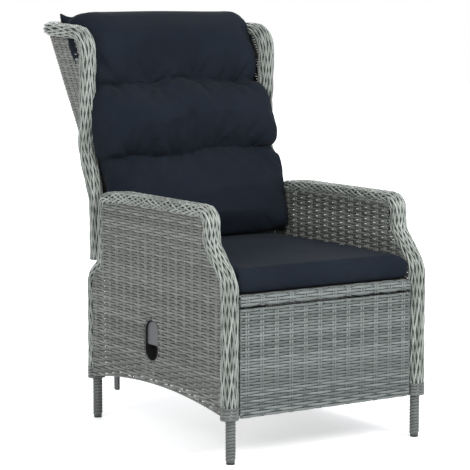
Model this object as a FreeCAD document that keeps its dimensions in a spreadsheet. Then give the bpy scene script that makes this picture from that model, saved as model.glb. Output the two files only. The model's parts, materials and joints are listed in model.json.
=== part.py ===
import FreeCAD, Part
import math
import os
import Sketcher

# A woven wing-back garden recliner: fixed base, hinged back, fold-out footrest, two link bars,
# a lockable gas spring under the seat and a release paddle in the left side.
# Millimetres. X runs to the sitter's left-hand side, Y backwards, Z up. "left" is the -X side.
# A size that starts with "=" is a spreadsheet formula: it follows the sizes that it names.

Vector = FreeCAD.Vector
os.makedirs("parts", exist_ok=True)
doc = FreeCAD.newDocument("recliner")

# ------------------------------------------------------------------ driving dimensions
SIZES = {
    # clearances
    "gap": 0.3, "running": 0.05,
    # bent side tubes; places are Y values of tube centres, levels are Z values
    "leg_half_span": 290, "tube_radius": 11, "tube_wall": 1.5, "tube_bend": 30, "arm_bend": 28,
    "front_leg_place": -360, "front_post_place": -278, "rear_post_place": 250, "rear_leg_place": 310,
    "front_jog_low": 455, "front_jog_high": 545, "rear_jog_low": 393, "rear_jog_high": 443,
    "arm_level": 623, "arm_knee_place": 130, "arm_droop": 11, "arm_knee_bend": 200, "foot_height": 6,
    "plug_height": 12, "leg_wrap_radius": "=tube_radius + 1.7",
    # braided edge rolls and woven side panels
    "roll_inner": "=leg_half_span - 19", "roll_outer": "=leg_half_span + 25", "roll_half_depth": 18,
    "roll_bottom": 112, "roll_corner": 15, "roll_split_front": -240, "roll_split_rear": 100,
    "outer_face": "=roll_outer - 5", "outer_skin": 6, "inner_skin": 5, "arch_end": "=roll_bottom + 9",
    "arch_middle": "=arch_end + 32", "arch_centre_place": -40, "arch_rail_radius": 8,
    "arch_rail_lift": 15, "arch_rail_tilt": 3.2,
    # seat
    "seat_tube_radius": 10, "seat_tube_level": 407, "seat_front_place": "=front_leg_place + 2",
    "seat_mid_place": -60, "seat_rear_place": "=rear_post_place - 22",
    "rail_rear_end": "=seat_rear_place + 12", "deck_thickness": 4, "deck_rear": "=seat_rear_place + 27",
    "seat_half_width": "=roll_inner - 5",
    "rail_weave_front": "=seat_front_place - seat_tube_radius - 2",
    "rail_weave_rear": "=seat_front_place + seat_tube_radius + 2",
    "rail_weave_low": "=seat_tube_level - seat_tube_radius - 1.7",
    "rail_weave_high": "=seat_tube_level + seat_tube_radius + 3",
    "cushion_front": "=front_leg_place - 2", "cushion_rear": "=rear_post_place + 18",
    "cushion_thickness": 63, "cushion_round": 20, "rail_weave_round": 2,
    # steel plates, pivots and pins
    "plate": 3, "lever_plate": 6, "lever_inner": "=roll_inner - 31", "link_plate": 5, "link_gap": 3,
    "pivot_place": "=rear_post_place + 35", "pivot_level": "=seat_tube_level - 7",
    "pivot_bolt_radius": 5, "pivot_head_radius": 8, "pivot_head_height": 4.5, "spacer_radius": 8,
    "pivot_plate_radius": 14, "pivot_plate_front": "=rear_post_place - 25",
    "hinge_place": "=front_leg_place + 6.3", "hinge_level": "=seat_tube_level - 28.5",
    "hinge_pin_radius": 4, "hinge_pin_length": 30, "bracket_radius": 9, "link_pin_radius": 4,
    # footrest
    "foot_tube_radius": 9, "foot_tube_half": "=roll_inner - 7", "foot_frame_radius": 8,
    "foot_frame_half": "=roll_inner - 15", "foot_frame_low": "=foot_panel_low + 10",
    "foot_frame_bend": 30, "foot_panel_half": "=roll_inner - 4", "foot_panel_skin": 4,
    "foot_panel_front": "=front_leg_place - 7", "foot_panel_low": "=roll_bottom + 1",
    "foot_panel_high": "=hinge_level + foot_tube_radius + 0.5", "foot_corner": 8, "foot_arm_reach": 40,
    "foot_arm_angle": 10.3, "foot_arm_half": 10, "bush_flange": 2.5, "foot_arm_root": 6,
    "foot_arm_drop": 3, "bush_neck": 1,
    # links between the back's lever arms and the footrest
    "link_drop": 73.3, "link_angle": -1.4, "link_half": 6.5, "link_set": 6, "open_hole_radius": 9,
    # back
    "back_foot_place": "=rear_post_place + 65", "back_foot_level": "=seat_tube_level + 33",
    "lean_low": 13, "lean_high": 32, "low_run": 225, "back_bend": 458, "high_run": 295, "back_skin": 6,
    "back_tube_radius": 10, "back_tube_half": "=roll_inner - back_tube_radius - 0.5",
    "back_panel_half": "=roll_inner - 0.6", "front_panel_half": "=roll_inner - 3", "back_start": 8,
    "back_end": 28, "wing_place": "=back_foot_place - 10", "wing_knee_low": "=back_foot_level + 175",
    "wing_knee_high": "=back_foot_level + 300", "wing_mid_place": "=back_foot_place + 41",
    "wing_top_front": "=back_foot_place + 27", "wing_knee_bend": 90, "wing_top_bend": 55,
    "wing_face": "=leg_half_span + 1", "wing_skin": 12, "wing_low": "=back_foot_level + 335",
    "lever_low": "=pivot_level - 325", "lever_half_low": 10, "lever_half_pivot": 13,
    "lever_half_top": 8.5, "cross_place": "=pivot_place + 3", "cross_level": "=pivot_level - 138",
    "pillow_half_width": "=roll_inner - 5", "pillow_bulge_half": "=leg_half_span - 2",
    "wing_top_lift": 14.9, "wing_top_set": 1.8, "wing_corner_drop": 10, "wing_top_drop": 6,
    "pillow_start": 44, "pillow_end_round": 6, "pillow_set": 0.9,
    "pillow_bulge_start": "=arm_level - 389", "lever_tip_round": 6, "lever_waist_round": 10,
    # gas spring
    "spring_front_level": "=seat_tube_level - 62", "spring_rear_place": "=cross_place + 12",
    "spring_rear_level": "=cross_level + 48", "spring_gap_half": 12.5, "spring_pin_radius": 4,
    "spring_eye_half": 8, "spring_eye_radius": 12, "spring_body_radius": 11,
    "spring_bore_radius": "=spring_body_radius - 1.45", "spring_body_start": 22,
    "spring_body_length": 200, "spring_end_wall": 5, "spring_rod_radius": 4, "spring_rod_length": 240,
    "piston_radius": "=spring_bore_radius - running", "piston_height": 12, "rod_head_radius": 8,
    "rod_head_front": 20, "rod_head_rear": 12, "spring_eye_hole": 8.9, "spring_neck_radius": 6.5,
    "release_radius": 2, "release_out": 4, "release_in": 8.5, "release_hole": 6,
    # release paddle in the left side
    "recess_place": -17, "recess_level": 264.5, "recess_width": 73, "recess_height": 117,
    "recess_flange": 3, "recess_lip": 2, "recess_depth": 30, "recess_wall": 2.5,
    "paddle_width": "=recess_width - 17", "paddle_high": "=recess_level + 48.5",
    "paddle_low": "=recess_level - 12.5", "paddle_skin": 5, "paddle_set": 5,
    "paddle_pin_level": "=recess_level + 35.5", "paddle_pin_set": 15, "paddle_pin_radius": 2,
    "paddle_barrel_radius": 4.5, "paddle_barrel_length": "=recess_width - 37",
    "paddle_corner": "=paddle_width / 2 - 4", "cable_radius": 2.5, "cable_hole_radius": 4,
    "paddle_tip_round": 3,
}

sheet = doc.addObject("Spreadsheet::Sheet", "sizes")
for row, (alias, number) in enumerate(SIZES.items(), start=1):
    sheet.set("A%d" % row, alias)
    sheet.set("B%d" % row, str(number))
    sheet.setAlias("B%d" % row, alias)
doc.recompute()

SIDES = (("left", -1), ("right", 1))
subparts = []


def size(alias):
    return float(sheet.get(alias))


def keep(piece, label, place=Vector(0, 0, 0)):
    """Name a finished sub-part and move it to its place."""
    doc.recompute()
    piece.Label = label
    piece.Placement = FreeCAD.Placement(place.add(piece.Placement.Base), piece.Placement.Rotation)
    subparts.append(piece)
    return piece


# ------------------------------------------------------------------ outlines
def rounded(points, radii, closed=False):
    """Straight edges through the points, each corner rounded by its radius."""
    corners = [Vector(a, b, 0) for a, b in points]
    count = len(corners)
    turns = []
    for i in range(count) if closed else range(1, count - 1):
        before, here, after = corners[i - 1], corners[i], corners[(i + 1) % count]
        back, ahead = (before - here).normalize(), (after - here).normalize()
        half = back.getAngle(ahead) / 2
        radius = radii[i]
        if radius <= 0:
            turns.append((here, None, here))
            continue
        run = radius / math.tan(half)
        inward = (back + ahead).normalize() * (radius / math.sin(half) - radius)
        turns.append((here + back * run, here + inward, here + ahead * run))
    edges = []
    last = turns[-1][2] if closed else corners[0]
    for start, middle, end in turns:
        if (start - last).Length > 1e-6:
            edges.append(Part.LineSegment(last, start))
        if middle is not None:
            edges.append(Part.Arc(start, middle, end))
        last = end
    if not closed:
        edges.append(Part.LineSegment(last, corners[-1]))
    return edges


def offset_route(points, radii, distance):
    """The route moved to the right of its direction of travel, with its bends kept concentric."""
    corners = [Vector(a, b, 0) for a, b in points]
    runs = [(b - a).normalize() for a, b in zip(corners, corners[1:])]
    sides = [Vector(run.y, -run.x, 0) for run in runs]
    moved = [corners[0] + sides[0] * distance]
    bends = [0]
    for i in range(1, len(corners) - 1):
        one, two = sides[i - 1], sides[i]
        share = distance / (1 + one.dot(two))
        moved.append(corners[i] + (one + two) * share)
        left_turn = runs[i - 1].cross(runs[i]).z > 0
        bends.append(max(radii[i] + (distance if left_turn else -distance), 1))
    moved.append(corners[-1] + sides[-1] * distance)
    bends.append(0)
    return [(p.x, p.y) for p in moved], bends


def oblong(centre, width, height):
    """An upright slot shape."""
    y, z = centre
    y1, y2, z1, z2 = y - width / 2, y + width / 2, z - height / 2, z + height / 2
    radius = width / 2 - 1e-4
    return rounded([(y1, z1), (y2, z1), (y2, z2), (y1, z2)], [radius] * 4, True)


def rectangle(low, high, radius=0):
    (a1, b1), (a2, b2) = low, high
    return rounded([(a1, b1), (a2, b1), (a2, b2), (a1, b2)], [radius] * 4, True)


def stadium(one, two, radius):
    """A bar with round ends about two centres."""
    a, b = Vector(one[0], one[1], 0), Vector(two[0], two[1], 0)
    along = (b - a).normalize() * radius
    side = Vector(-along.y, along.x, 0)
    return [Part.LineSegment(a + side, b + side), Part.Arc(b + side, b + along, b - side),
            Part.LineSegment(b - side, a - side), Part.Arc(a - side, a - along, a + side)]


def circle(centre, radius):
    return Part.Circle(Vector(centre[0], centre[1], 0), Vector(0, 0, 1), radius)


# ------------------------------------------------------------------ features
def sketch_on(body, role, geometry, offset=Vector(0, 0, 0)):
    sketch = body.newObject("Sketcher::SketchObject", "outline")
    plane = next(f for f in body.Origin.OriginFeatures if f.Role == role)
    sketch.AttachmentSupport = [(plane, "")]
    sketch.MapMode = "FlatFace"
    sketch.AttachmentOffset = FreeCAD.Placement(offset, FreeCAD.Rotation())
    for item in geometry:
        sketch.addGeometry(item, False)
    return sketch


def bind_radius(sketch, index, radius, expression):
    number = sketch.addConstraint(Sketcher.Constraint("Radius", index, radius))
    sketch.setExpression("Constraints[%d]" % number, expression)


def slab(geometry, thickness, role="YZ_Plane"):
    """A flat body of one sheet thickness; thickness is an expression in the sheet's words."""
    body = doc.addObject("PartDesign::Body", "slab")
    sketch = sketch_on(body, role, geometry)
    pad = body.newObject("PartDesign::Pad", "thickness")
    pad.Profile = sketch
    pad.setExpression("Length", thickness)
    return body


def swept(route, bends, section, start_role="XY_Plane", path_role="YZ_Plane"):
    """A body swept along a bent route; section is a list of (edges, bound radii)."""
    body = doc.addObject("PartDesign::Body", "sweep")
    path = sketch_on(body, path_role, rounded(route, bends))
    first = route[0]
    if path_role == "YZ_Plane":
        offset = Vector(0, first[0], first[1])
    else:
        offset = Vector(first[0], 0, first[1])
    profile = sketch_on(body, start_role, [], offset)
    for item, expression in section:
        index = profile.addGeometry(item, False)
        if expression:
            bind_radius(profile, index, item.Radius, expression)
    pipe = body.newObject("PartDesign::AdditivePipe", "pipe")
    pipe.Profile = profile
    pipe.Spine = (path, [""])
    return body


def tube_section(radius_alias, wall_alias="tube_wall", centre=(0, 0)):
    outer, wall = size(radius_alias), size(wall_alias)
    bound = "sizes." + radius_alias
    return [(circle(centre, outer), bound), (circle(centre, outer - wall), bound + " - sizes." + wall_alias)]


def rod(radius, length, direction=Vector(1, 0, 0)):
    """A round bar from the origin along a direction; radius and length are expressions."""
    bar = doc.addObject("Part::Cylinder", "rod")
    bar.setExpression("Radius", radius)
    bar.setExpression("Height", length)
    bar.Placement = FreeCAD.Placement(Vector(0, 0, 0), FreeCAD.Rotation(Vector(0, 0, 1), direction))
    return bar


def block(length, width, height):
    box = doc.addObject("Part::Box", "block")
    box.setExpression("Length", length)
    box.setExpression("Width", width)
    box.setExpression("Height", height)
    return box


def at(piece, x, y, z):
    doc.recompute()
    piece.Placement = FreeCAD.Placement(piece.Placement.Base + Vector(x, y, z), piece.Placement.Rotation)
    return piece


def cut(body, *tools):
    for tool in tools:
        result = doc.addObject("Part::Cut", "cut")
        result.Base, result.Tool = body, tool
        body = result
    return body


def fuse(*pieces):
    result = doc.addObject("Part::MultiFuse", "fuse")
    result.Shapes = list(pieces)
    return result


def group(*pieces):
    result = doc.addObject("Part::Compound", "group")
    result.Links = list(pieces)
    return result


def hollow_bar(radius, wall, length, direction=Vector(1, 0, 0)):
    outer = rod(radius, length, direction)
    inner = rod("%s - %s" % (radius, wall), length, direction)
    return cut(outer, inner)


# ------------------------------------------------------------------ side frames
def side_route():
    return [(size("front_leg_place"), size("foot_height")), (size("front_leg_place"), size("front_jog_low")),
            (size("front_post_place"), size("front_jog_high")), (size("front_post_place"), size("arm_level")),
            (size("arm_knee_place"), size("arm_level")),
            (size("rear_post_place"), size("arm_level") - size("arm_droop")),
            (size("rear_post_place"), size("rear_jog_high")), (size("rear_leg_place"), size("rear_jog_low")),
            (size("rear_leg_place"), size("foot_height"))]


def side_bends():
    bend, arm = size("tube_bend"), size("arm_bend")
    return [0, bend, bend, arm, size("arm_knee_bend"), arm, bend, bend, 0]


def make_side_tube(name, side):
    tube = swept(side_route(), side_bends(), tube_section("tube_radius"))
    keep(tube, "side_tube_" + name, Vector(side * size("leg_half_span"), 0, 0))


def arch(lift, front, rear):
    """The low curve along the bottom of each side, raised by lift."""
    middle = size("arch_centre_place")
    return Part.Arc(Vector(rear, size("arch_end") + lift, 0), Vector(middle, size("arch_middle") + lift, 0),
                    Vector(front, size("arch_end") + lift, 0))


def make_arch_rail(name, side):
    reach = size("roll_half_depth") + size("gap")
    front = size("front_leg_place") + reach + size("arch_rail_tilt")
    rear = size("rear_leg_place") - reach
    body = doc.addObject("PartDesign::Body", "arch")
    curve = arch(size("arch_rail_lift"), front, rear)
    path = sketch_on(body, "YZ_Plane", [curve])
    profile = sketch_on(body, "XZ_Plane", [], Vector(0, size("arch_end") + size("arch_rail_lift"), -rear))
    radius = size("arch_rail_radius")
    for item, bound in ((radius, "sizes.arch_rail_radius"),
                        (radius - size("tube_wall"), "sizes.arch_rail_radius - sizes.tube_wall")):
        index = profile.addGeometry(circle((0, 0), item), False)
        bind_radius(profile, index, item, bound)
    pipe = body.newObject("PartDesign::AdditivePipe", "pipe")
    pipe.Profile = profile
    pipe.Spine = (path, [""])
    keep(body, "arch_rail_" + name, Vector(side * size("leg_half_span"), 0, 0))


def panel_outline():
    """The space inside the edge rolls, closed below by the arch."""
    route, bends = offset_route(side_route(), side_bends(), size("roll_half_depth") + size("gap"))
    route[0] = (route[0][0], size("arch_end"))
    route[-1] = (route[-1][0], size("arch_end"))
    edges = rounded(route, bends)
    edges.append(arch(0, route[0][0], route[-1][0]))
    return edges


def make_side_panels(name, side):
    outline = panel_outline()
    if side < 0:
        cup_width = size("recess_width") - 2 * size("recess_flange") + 2 * size("gap")
        cup_height = size("recess_height") - 2 * size("recess_flange") + 2 * size("gap")
        outline += oblong((size("recess_place"), size("recess_level")), cup_width, cup_height)
    outer = slab(outline, "sizes.outer_skin")
    start = size("outer_face") - size("outer_skin") if side > 0 else -size("outer_face")
    keep(outer, "outer_panel_" + name, Vector(start, 0, 0))
    outline = panel_outline()
    if side < 0:
        outline.append(circle(cable_route()[0][1:], size("cable_hole_radius")))
    inner = slab(outline, "sizes.inner_skin")
    start = size("roll_inner") if side > 0 else -size("roll_inner") - size("inner_skin")
    keep(inner, "inner_panel_" + name, Vector(start, 0, 0))


def roll_section(side):
    half_width = (size("roll_outer") - size("roll_inner")) / 2
    depth, corner = size("roll_half_depth"), size("roll_corner")
    inset = roll_centre() - size("leg_half_span")
    edges = [(edge, None) for edge in rectangle((-half_width, -depth), (half_width, depth), corner)]
    bore = size("tube_radius") + size("gap")
    edges.append((circle((-side * inset, 0), bore), "sizes.tube_radius + sizes.gap"))
    return edges


def roll_centre():
    return (size("roll_outer") + size("roll_inner")) / 2


def make_rolls(name, side):
    route, bends = side_route(), side_bends()
    level, low = size("arm_level"), size("roll_bottom")
    front = [(route[0][0], low)] + route[1:4] + [(size("roll_split_front"), level)]
    rear = [(route[-1][0], low)] + route[-2:-6:-1] + [(size("roll_split_rear"), level)]
    place = Vector(side * roll_centre(), 0, 0)
    keep(swept(front, bends[:4] + [0], roll_section(side)), "front_roll_" + name, place)
    keep(swept(rear, [0] + bends[-2:-6:-1] + [0], roll_section(side)), "rear_roll_" + name, place)
    middle = doc.addObject("PartDesign::Body", "arm")
    section = roll_section(side)
    sketch = sketch_on(middle, "XZ_Plane", [item for item, bound in section])
    pad = middle.newObject("PartDesign::Pad", "length")
    pad.Profile = sketch
    pad.setExpression("Length", "sizes.roll_split_rear - sizes.roll_split_front")
    keep(middle, "arm_roll_" + name, place + Vector(0, size("roll_split_rear"), level))


def leg_places():
    for name, side in SIDES:
        for place in ("front_leg_place", "rear_leg_place"):
            yield side * size("leg_half_span"), size(place)


def make_legs():
    wraps, caps = [], []
    up = Vector(0, 0, 1)
    for x, y in leg_places():
        outer = rod("sizes.leg_wrap_radius", "sizes.roll_bottom - sizes.foot_height - sizes.gap", up)
        inner = rod("sizes.tube_radius + sizes.gap", "sizes.roll_bottom", up)
        wraps.append(at(cut(outer, inner), x, y, size("foot_height")))
        cap = rod("sizes.tube_radius", "sizes.foot_height - sizes.running", up)
        plug = rod("sizes.tube_radius - sizes.tube_wall - sizes.running",
                   "sizes.foot_height + sizes.plug_height", up)
        caps.append(at(fuse(cap, plug), x, y, 0))
    keep(group(*wraps), "leg_wraps")
    keep(group(*caps), "foot_caps")


# ------------------------------------------------------------------ seat
def rail_x():
    """Centre of a seat side rail, just inside the pivot plates."""
    return size("roll_inner") - size("gap") - size("plate") - size("gap") - size("seat_tube_radius")


def make_seat_frame():
    level = size("seat_tube_level")
    rails = []
    for name, side in SIDES:
        start = size("rail_weave_rear") + size("gap")
        rail = hollow_bar("sizes.seat_tube_radius", "sizes.tube_wall",
                          "sizes.rail_rear_end - sizes.rail_weave_rear - sizes.gap", Vector(0, 1, 0))
        rails.append(at(rail, side * rail_x(), start, level))
    keep(group(*rails), "seat_side_rails")
    inner = rail_x() - size("seat_tube_radius") - size("gap")
    outer = size("roll_inner") - 2 * size("gap") - size("plate")
    tubes = []
    for place, half in (("seat_front_place", outer), ("seat_mid_place", inner), ("seat_rear_place", inner)):
        bar = hollow_bar("sizes.seat_tube_radius", "sizes.tube_wall", "%f" % (2 * half))
        tubes.append(at(bar, -half, size(place), level))
    keep(group(*tubes), "seat_cross_tubes")
    deck = block("2 * sizes.seat_half_width", "sizes.deck_rear - sizes.rail_weave_rear - sizes.gap",
                 "sizes.deck_thickness")
    deck_low = level + size("seat_tube_radius") + size("gap")
    keep(at(deck, -size("seat_half_width"), size("rail_weave_rear") + size("gap"), deck_low), "seat_deck")
    low, high = size("rail_weave_low"), size("rail_weave_high")
    outline = rectangle((size("rail_weave_front"), low), (size("rail_weave_rear"), high),
                        size("rail_weave_round"))
    outline.append(circle((size("seat_front_place"), level), size("seat_tube_radius") + size("gap")))
    weave = slab(outline, "2 * (sizes.seat_half_width)")
    keep(weave, "front_rail_weave", Vector(-size("seat_half_width"), 0, 0))


def make_seat_cushion():
    length = "sizes.cushion_rear - sizes.cushion_front"
    box = block("2 * sizes.seat_half_width", length, "sizes.cushion_thickness")
    doc.recompute()
    soft = doc.addObject("Part::Fillet", "soft")
    soft.Base = box
    radius = size("cushion_round")
    soft.Edges = [(number, radius, radius) for number in range(1, len(box.Shape.Edges) + 1)]
    low = size("seat_tube_level") + size("seat_tube_radius") + size("deck_thickness") + 2 * size("gap")
    keep(soft, "seat_cushion", Vector(-size("seat_half_width"), size("cushion_front"), low))


# ------------------------------------------------------------------ pivots
def pivot():
    return size("pivot_place"), size("pivot_level")


def hinge():
    return size("hinge_place"), size("hinge_level")


def below(centre, reach, angle):
    """The point at a reach below a centre, turned backwards by an angle in degrees."""
    turn = math.radians(angle)
    return centre[0] + reach * math.sin(turn), centre[1] - reach * math.cos(turn)


def link_rear():
    return below(pivot(), size("link_drop"), size("link_angle"))


def link_front():
    return below(hinge(), size("foot_arm_reach"), size("foot_arm_angle"))


def mirrored(low, width, make):
    """One piece per side, each from |x| = low to |x| = low + width."""
    pieces = []
    for name, side in SIDES:
        start = low if side > 0 else -low - width
        pieces.append(at(make(), start, 0, 0))
    return pieces


def along_x(radius, length, centre):
    return at(rod(radius, length), 0, centre[0], centre[1])


def make_base_plates():
    inside = size("roll_inner") - size("gap") - size("plate")

    def plate_outline():
        front = (size("pivot_plate_front"), size("seat_tube_level"))
        edges = stadium(pivot(), front, size("pivot_plate_radius"))
        return edges + [circle(pivot(), size("pivot_bolt_radius") + size("running"))]

    plates = mirrored(inside, size("plate"), lambda: slab(plate_outline(), "sizes.plate"))
    keep(group(*plates), "pivot_plates")

    def bracket_outline():
        top = (size("seat_front_place"), size("seat_tube_level"))
        edges = stadium(hinge(), top, size("bracket_radius"))
        return edges + [circle(hinge(), size("hinge_pin_radius") + size("running"))]

    brackets = mirrored(inside, size("plate"), lambda: slab(bracket_outline(), "sizes.plate"))
    keep(group(*brackets), "footrest_brackets")

    reach = size("roll_inner") - size("gap")
    head_end = size("lever_inner") - size("gap")
    shank = reach - head_end
    shanks = mirrored(head_end, shank, lambda: along_x("sizes.pivot_bolt_radius", "%f" % shank, pivot()))
    head = size("pivot_head_height")
    heads = mirrored(head_end - head, head,
                     lambda: along_x("sizes.pivot_head_radius", "sizes.pivot_head_height", pivot()))
    keep(group(*[fuse(a, b) for a, b in zip(shanks, heads)]), "back_pivot_bolts")

    low = size("lever_inner") + size("lever_plate") + size("gap")
    width = inside - size("gap") - low

    def spacer():
        outer = along_x("sizes.spacer_radius", "%f" % width, pivot())
        inner = along_x("sizes.pivot_bolt_radius + sizes.running", "%f" % width, pivot())
        return cut(outer, inner)

    keep(group(*mirrored(low, width, spacer)), "pivot_spacers")
    length = size("hinge_pin_length")
    pins = mirrored(reach - length, length,
                    lambda: along_x("sizes.hinge_pin_radius", "sizes.hinge_pin_length", hinge()))
    keep(group(*pins), "footrest_pins")


# ------------------------------------------------------------------ footrest
def make_footrest():
    half = size("foot_tube_half")
    tube = hollow_bar("sizes.foot_tube_radius", "sizes.tube_wall", "2 * sizes.foot_tube_half")
    keep(at(tube, -half, *hinge()), "footrest_top_tube")

    frame_half, low = size("foot_frame_half"), size("foot_frame_low")
    top = size("hinge_level") - size("foot_tube_radius") - size("gap")
    route = [(-frame_half, top), (-frame_half, low), (frame_half, low), (frame_half, top)]
    bend = size("foot_frame_bend")
    frame = swept(route, [0, bend, bend, 0], tube_section("foot_frame_radius"), path_role="XZ_Plane")
    front = size("foot_panel_front") + size("foot_panel_skin") + size("gap")
    keep(frame, "footrest_frame", Vector(0, front + size("foot_frame_radius"), 0))

    half = size("foot_panel_half")
    outline = rectangle((-half, size("foot_panel_low")), (half, size("foot_panel_high")), size("foot_corner"))
    panel = slab(outline, "sizes.foot_panel_skin", "XZ_Plane")
    keep(panel, "footrest_panel", Vector(0, size("foot_panel_front") + size("foot_panel_skin"), 0))

    low_x = size("lever_inner")

    def arm():
        centre = hinge()
        root = (centre[0] + size("foot_arm_root"), centre[1] - size("foot_arm_drop"))
        edges = stadium(root, link_front(), size("foot_arm_half"))
        edges.append(circle(link_front(), size("link_pin_radius") + size("running")))
        body = slab(edges, "sizes.lever_plate")
        tool = along_x("sizes.foot_tube_radius + sizes.running", "sizes.lever_plate", centre)
        return cut(body, tool)

    keep(group(*mirrored(low_x, size("lever_plate"), arm)), "footrest_arms")
    pin_low = low_x - size("link_gap") - size("link_plate")
    pin_width = size("lever_plate") + size("link_gap") + size("link_plate")
    pins = mirrored(pin_low, pin_width,
                    lambda: along_x("sizes.link_pin_radius", "%f" % pin_width, link_front()))
    keep(group(*pins), "footrest_link_pins")

    length = size("hinge_pin_length")
    start = size("roll_inner") - size("gap") - length

    def bush():
        sleeve = along_x("sizes.foot_tube_radius - sizes.tube_wall - sizes.running",
                         "%f" % (size("foot_tube_half") - start), hinge())
        return sleeve

    sleeves = mirrored(start, size("foot_tube_half") - start, bush)
    flanges = mirrored(size("foot_tube_half") + size("running"), size("bush_flange"),
                       lambda: along_x("sizes.foot_tube_radius", "sizes.bush_flange", hinge()))
    joined = []
    for sleeve, flange, (name, side) in zip(sleeves, flanges, SIDES):
        lap = size("bush_neck")
        neck_low = size("foot_tube_half") - lap
        neck = along_x("sizes.foot_tube_radius - sizes.tube_wall - sizes.running",
                       "2 * sizes.bush_neck", hinge())
        neck = at(neck, neck_low if side > 0 else -neck_low - 2 * lap, 0, 0)
        bore = along_x("sizes.hinge_pin_radius + sizes.running", "2 * sizes.hinge_pin_length", hinge())
        bore = at(bore, start - lap if side > 0 else -start + lap - 2 * length, 0, 0)
        joined.append(cut(fuse(sleeve, flange, neck), bore))
    keep(group(*joined), "footrest_bushes")


def make_links():
    low = size("lever_inner") - size("link_gap") - size("link_plate")
    for name, side in SIDES:
        front = link_front()
        edges = stadium(link_rear(), (front[0], front[1] - size("link_set")), size("link_half"))
        edges.append(circle(link_rear(), size("link_pin_radius") + size("running")))
        bar = slab(edges, "sizes.link_plate")
        eye = along_x("sizes.open_hole_radius + sizes.link_pin_radius", "sizes.link_plate", link_front())
        hole = along_x("sizes.open_hole_radius", "sizes.link_plate", link_front())
        link = cut(fuse(bar, eye), hole)
        keep(link, "link_" + name, Vector(low if side > 0 else -low - size("link_plate"), 0, 0))


# ------------------------------------------------------------------ back
def lean_vectors(angle):
    turn = math.radians(angle)
    return Vector(math.sin(turn), math.cos(turn), 0), Vector(-math.cos(turn), math.sin(turn), 0)


def back_line(offset, start=0.0, end=0.0):
    """The back's rear line moved forwards by offset: start, bend start, bend middle, bend end, end."""
    up_low, out_low = lean_vectors(size("lean_low"))
    up_high, out_high = lean_vectors(size("lean_high"))
    up_mid, out_mid = lean_vectors((size("lean_low") + size("lean_high")) / 2)
    foot = Vector(size("back_foot_place"), size("back_foot_level"), 0)
    bend_start = foot + up_low * size("low_run")
    centre = bend_start - out_low * size("back_bend")
    bend_end = centre + out_high * size("back_bend")
    return [foot + up_low * start + out_low * offset, bend_start + out_low * offset,
            centre + out_mid * (size("back_bend") + offset), bend_end + out_high * offset,
            bend_end + up_high * (size("high_run") - end) + out_high * offset]


def strip(near, far, start, end):
    """Closed outline between two offsets of the back line."""
    a, b, c, d, e = back_line(near, start, end)
    f, g, i, j, k = back_line(far, start, end)
    return [Part.LineSegment(a, b), Part.Arc(b, c, d), Part.LineSegment(d, e), Part.LineSegment(e, k),
            Part.LineSegment(k, j), Part.Arc(j, i, g), Part.LineSegment(g, f), Part.LineSegment(f, a)]


def back_tube_offset():
    return size("back_skin") + size("gap") + size("back_tube_radius")


def front_panel_offset():
    return back_tube_offset() + size("back_tube_radius") + size("gap")


def back_points():
    """Centres of the bottom and top cross tubes of the back frame."""
    start = size("back_start") + size("back_tube_radius") / 2
    line = back_line(back_tube_offset(), start, size("back_end") + size("back_tube_radius"))
    return line[0], line[-1]


def make_back_frame():
    start = size("back_start") + size("back_tube_radius") / 2
    a, b, c, d, e = back_line(back_tube_offset(), start, size("back_end") + size("back_tube_radius"))
    half = size("back_tube_half")
    pieces = []
    for name, side in SIDES:
        body = doc.addObject("PartDesign::Body", "side")
        line = [Part.LineSegment(a, b), Part.Arc(b, c, d), Part.LineSegment(d, e)]
        path = sketch_on(body, "YZ_Plane", line)
        profile = body.newObject("Sketcher::SketchObject", "profile")
        plane = next(f for f in body.Origin.OriginFeatures if f.Role == "XY_Plane")
        profile.AttachmentSupport = [(plane, "")]
        profile.MapMode = "FlatFace"
        tilt = FreeCAD.Rotation(Vector(1, 0, 0), -size("lean_low"))
        profile.AttachmentOffset = FreeCAD.Placement(Vector(0, a.x, a.y), tilt)
        index = profile.addGeometry(circle((0, 0), size("back_tube_radius")), False)
        bind_radius(profile, index, size("back_tube_radius"), "sizes.back_tube_radius")
        pipe = body.newObject("PartDesign::AdditivePipe", "pipe")
        pipe.Profile = profile
        pipe.Spine = (path, [""])
        pieces.append(at(body, side * half, 0, 0))
    for centre in (a, e):
        bar = rod("sizes.back_tube_radius", "2 * sizes.back_tube_half")
        pieces.append(at(bar, -half, centre.x, centre.y))
    keep(fuse(*pieces), "back_frame")


def make_back_panels():
    start, end = size("back_start"), size("back_end")
    half = size("back_panel_half")
    rear = slab(strip(0, size("back_skin"), start, end), "2 * sizes.back_panel_half")
    keep(rear, "back_rear_panel", Vector(-half, 0, 0))
    near = front_panel_offset()
    half = size("front_panel_half")
    front = slab(strip(near, near + size("back_skin"), start, end), "2 * sizes.front_panel_half")
    keep(front, "back_front_panel", Vector(-half, 0, 0))


def wing_top():
    """Where the wing rolls end, just over the upper end of the back."""
    end = back_line(0)[-1]
    return end.x - size("wing_top_set"), end.y + size("wing_top_lift")


def wing_route():
    rear, level = wing_top()
    return [(size("wing_place"), size("back_foot_level")), (size("wing_place"), size("wing_knee_low")),
            (size("wing_mid_place"), size("wing_knee_high")),
            (size("wing_top_front"), level - size("wing_corner_drop")), (rear, level)]


def wing_bends():
    return [0, size("wing_knee_bend"), size("wing_knee_bend"), size("wing_top_bend"), 0]


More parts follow.
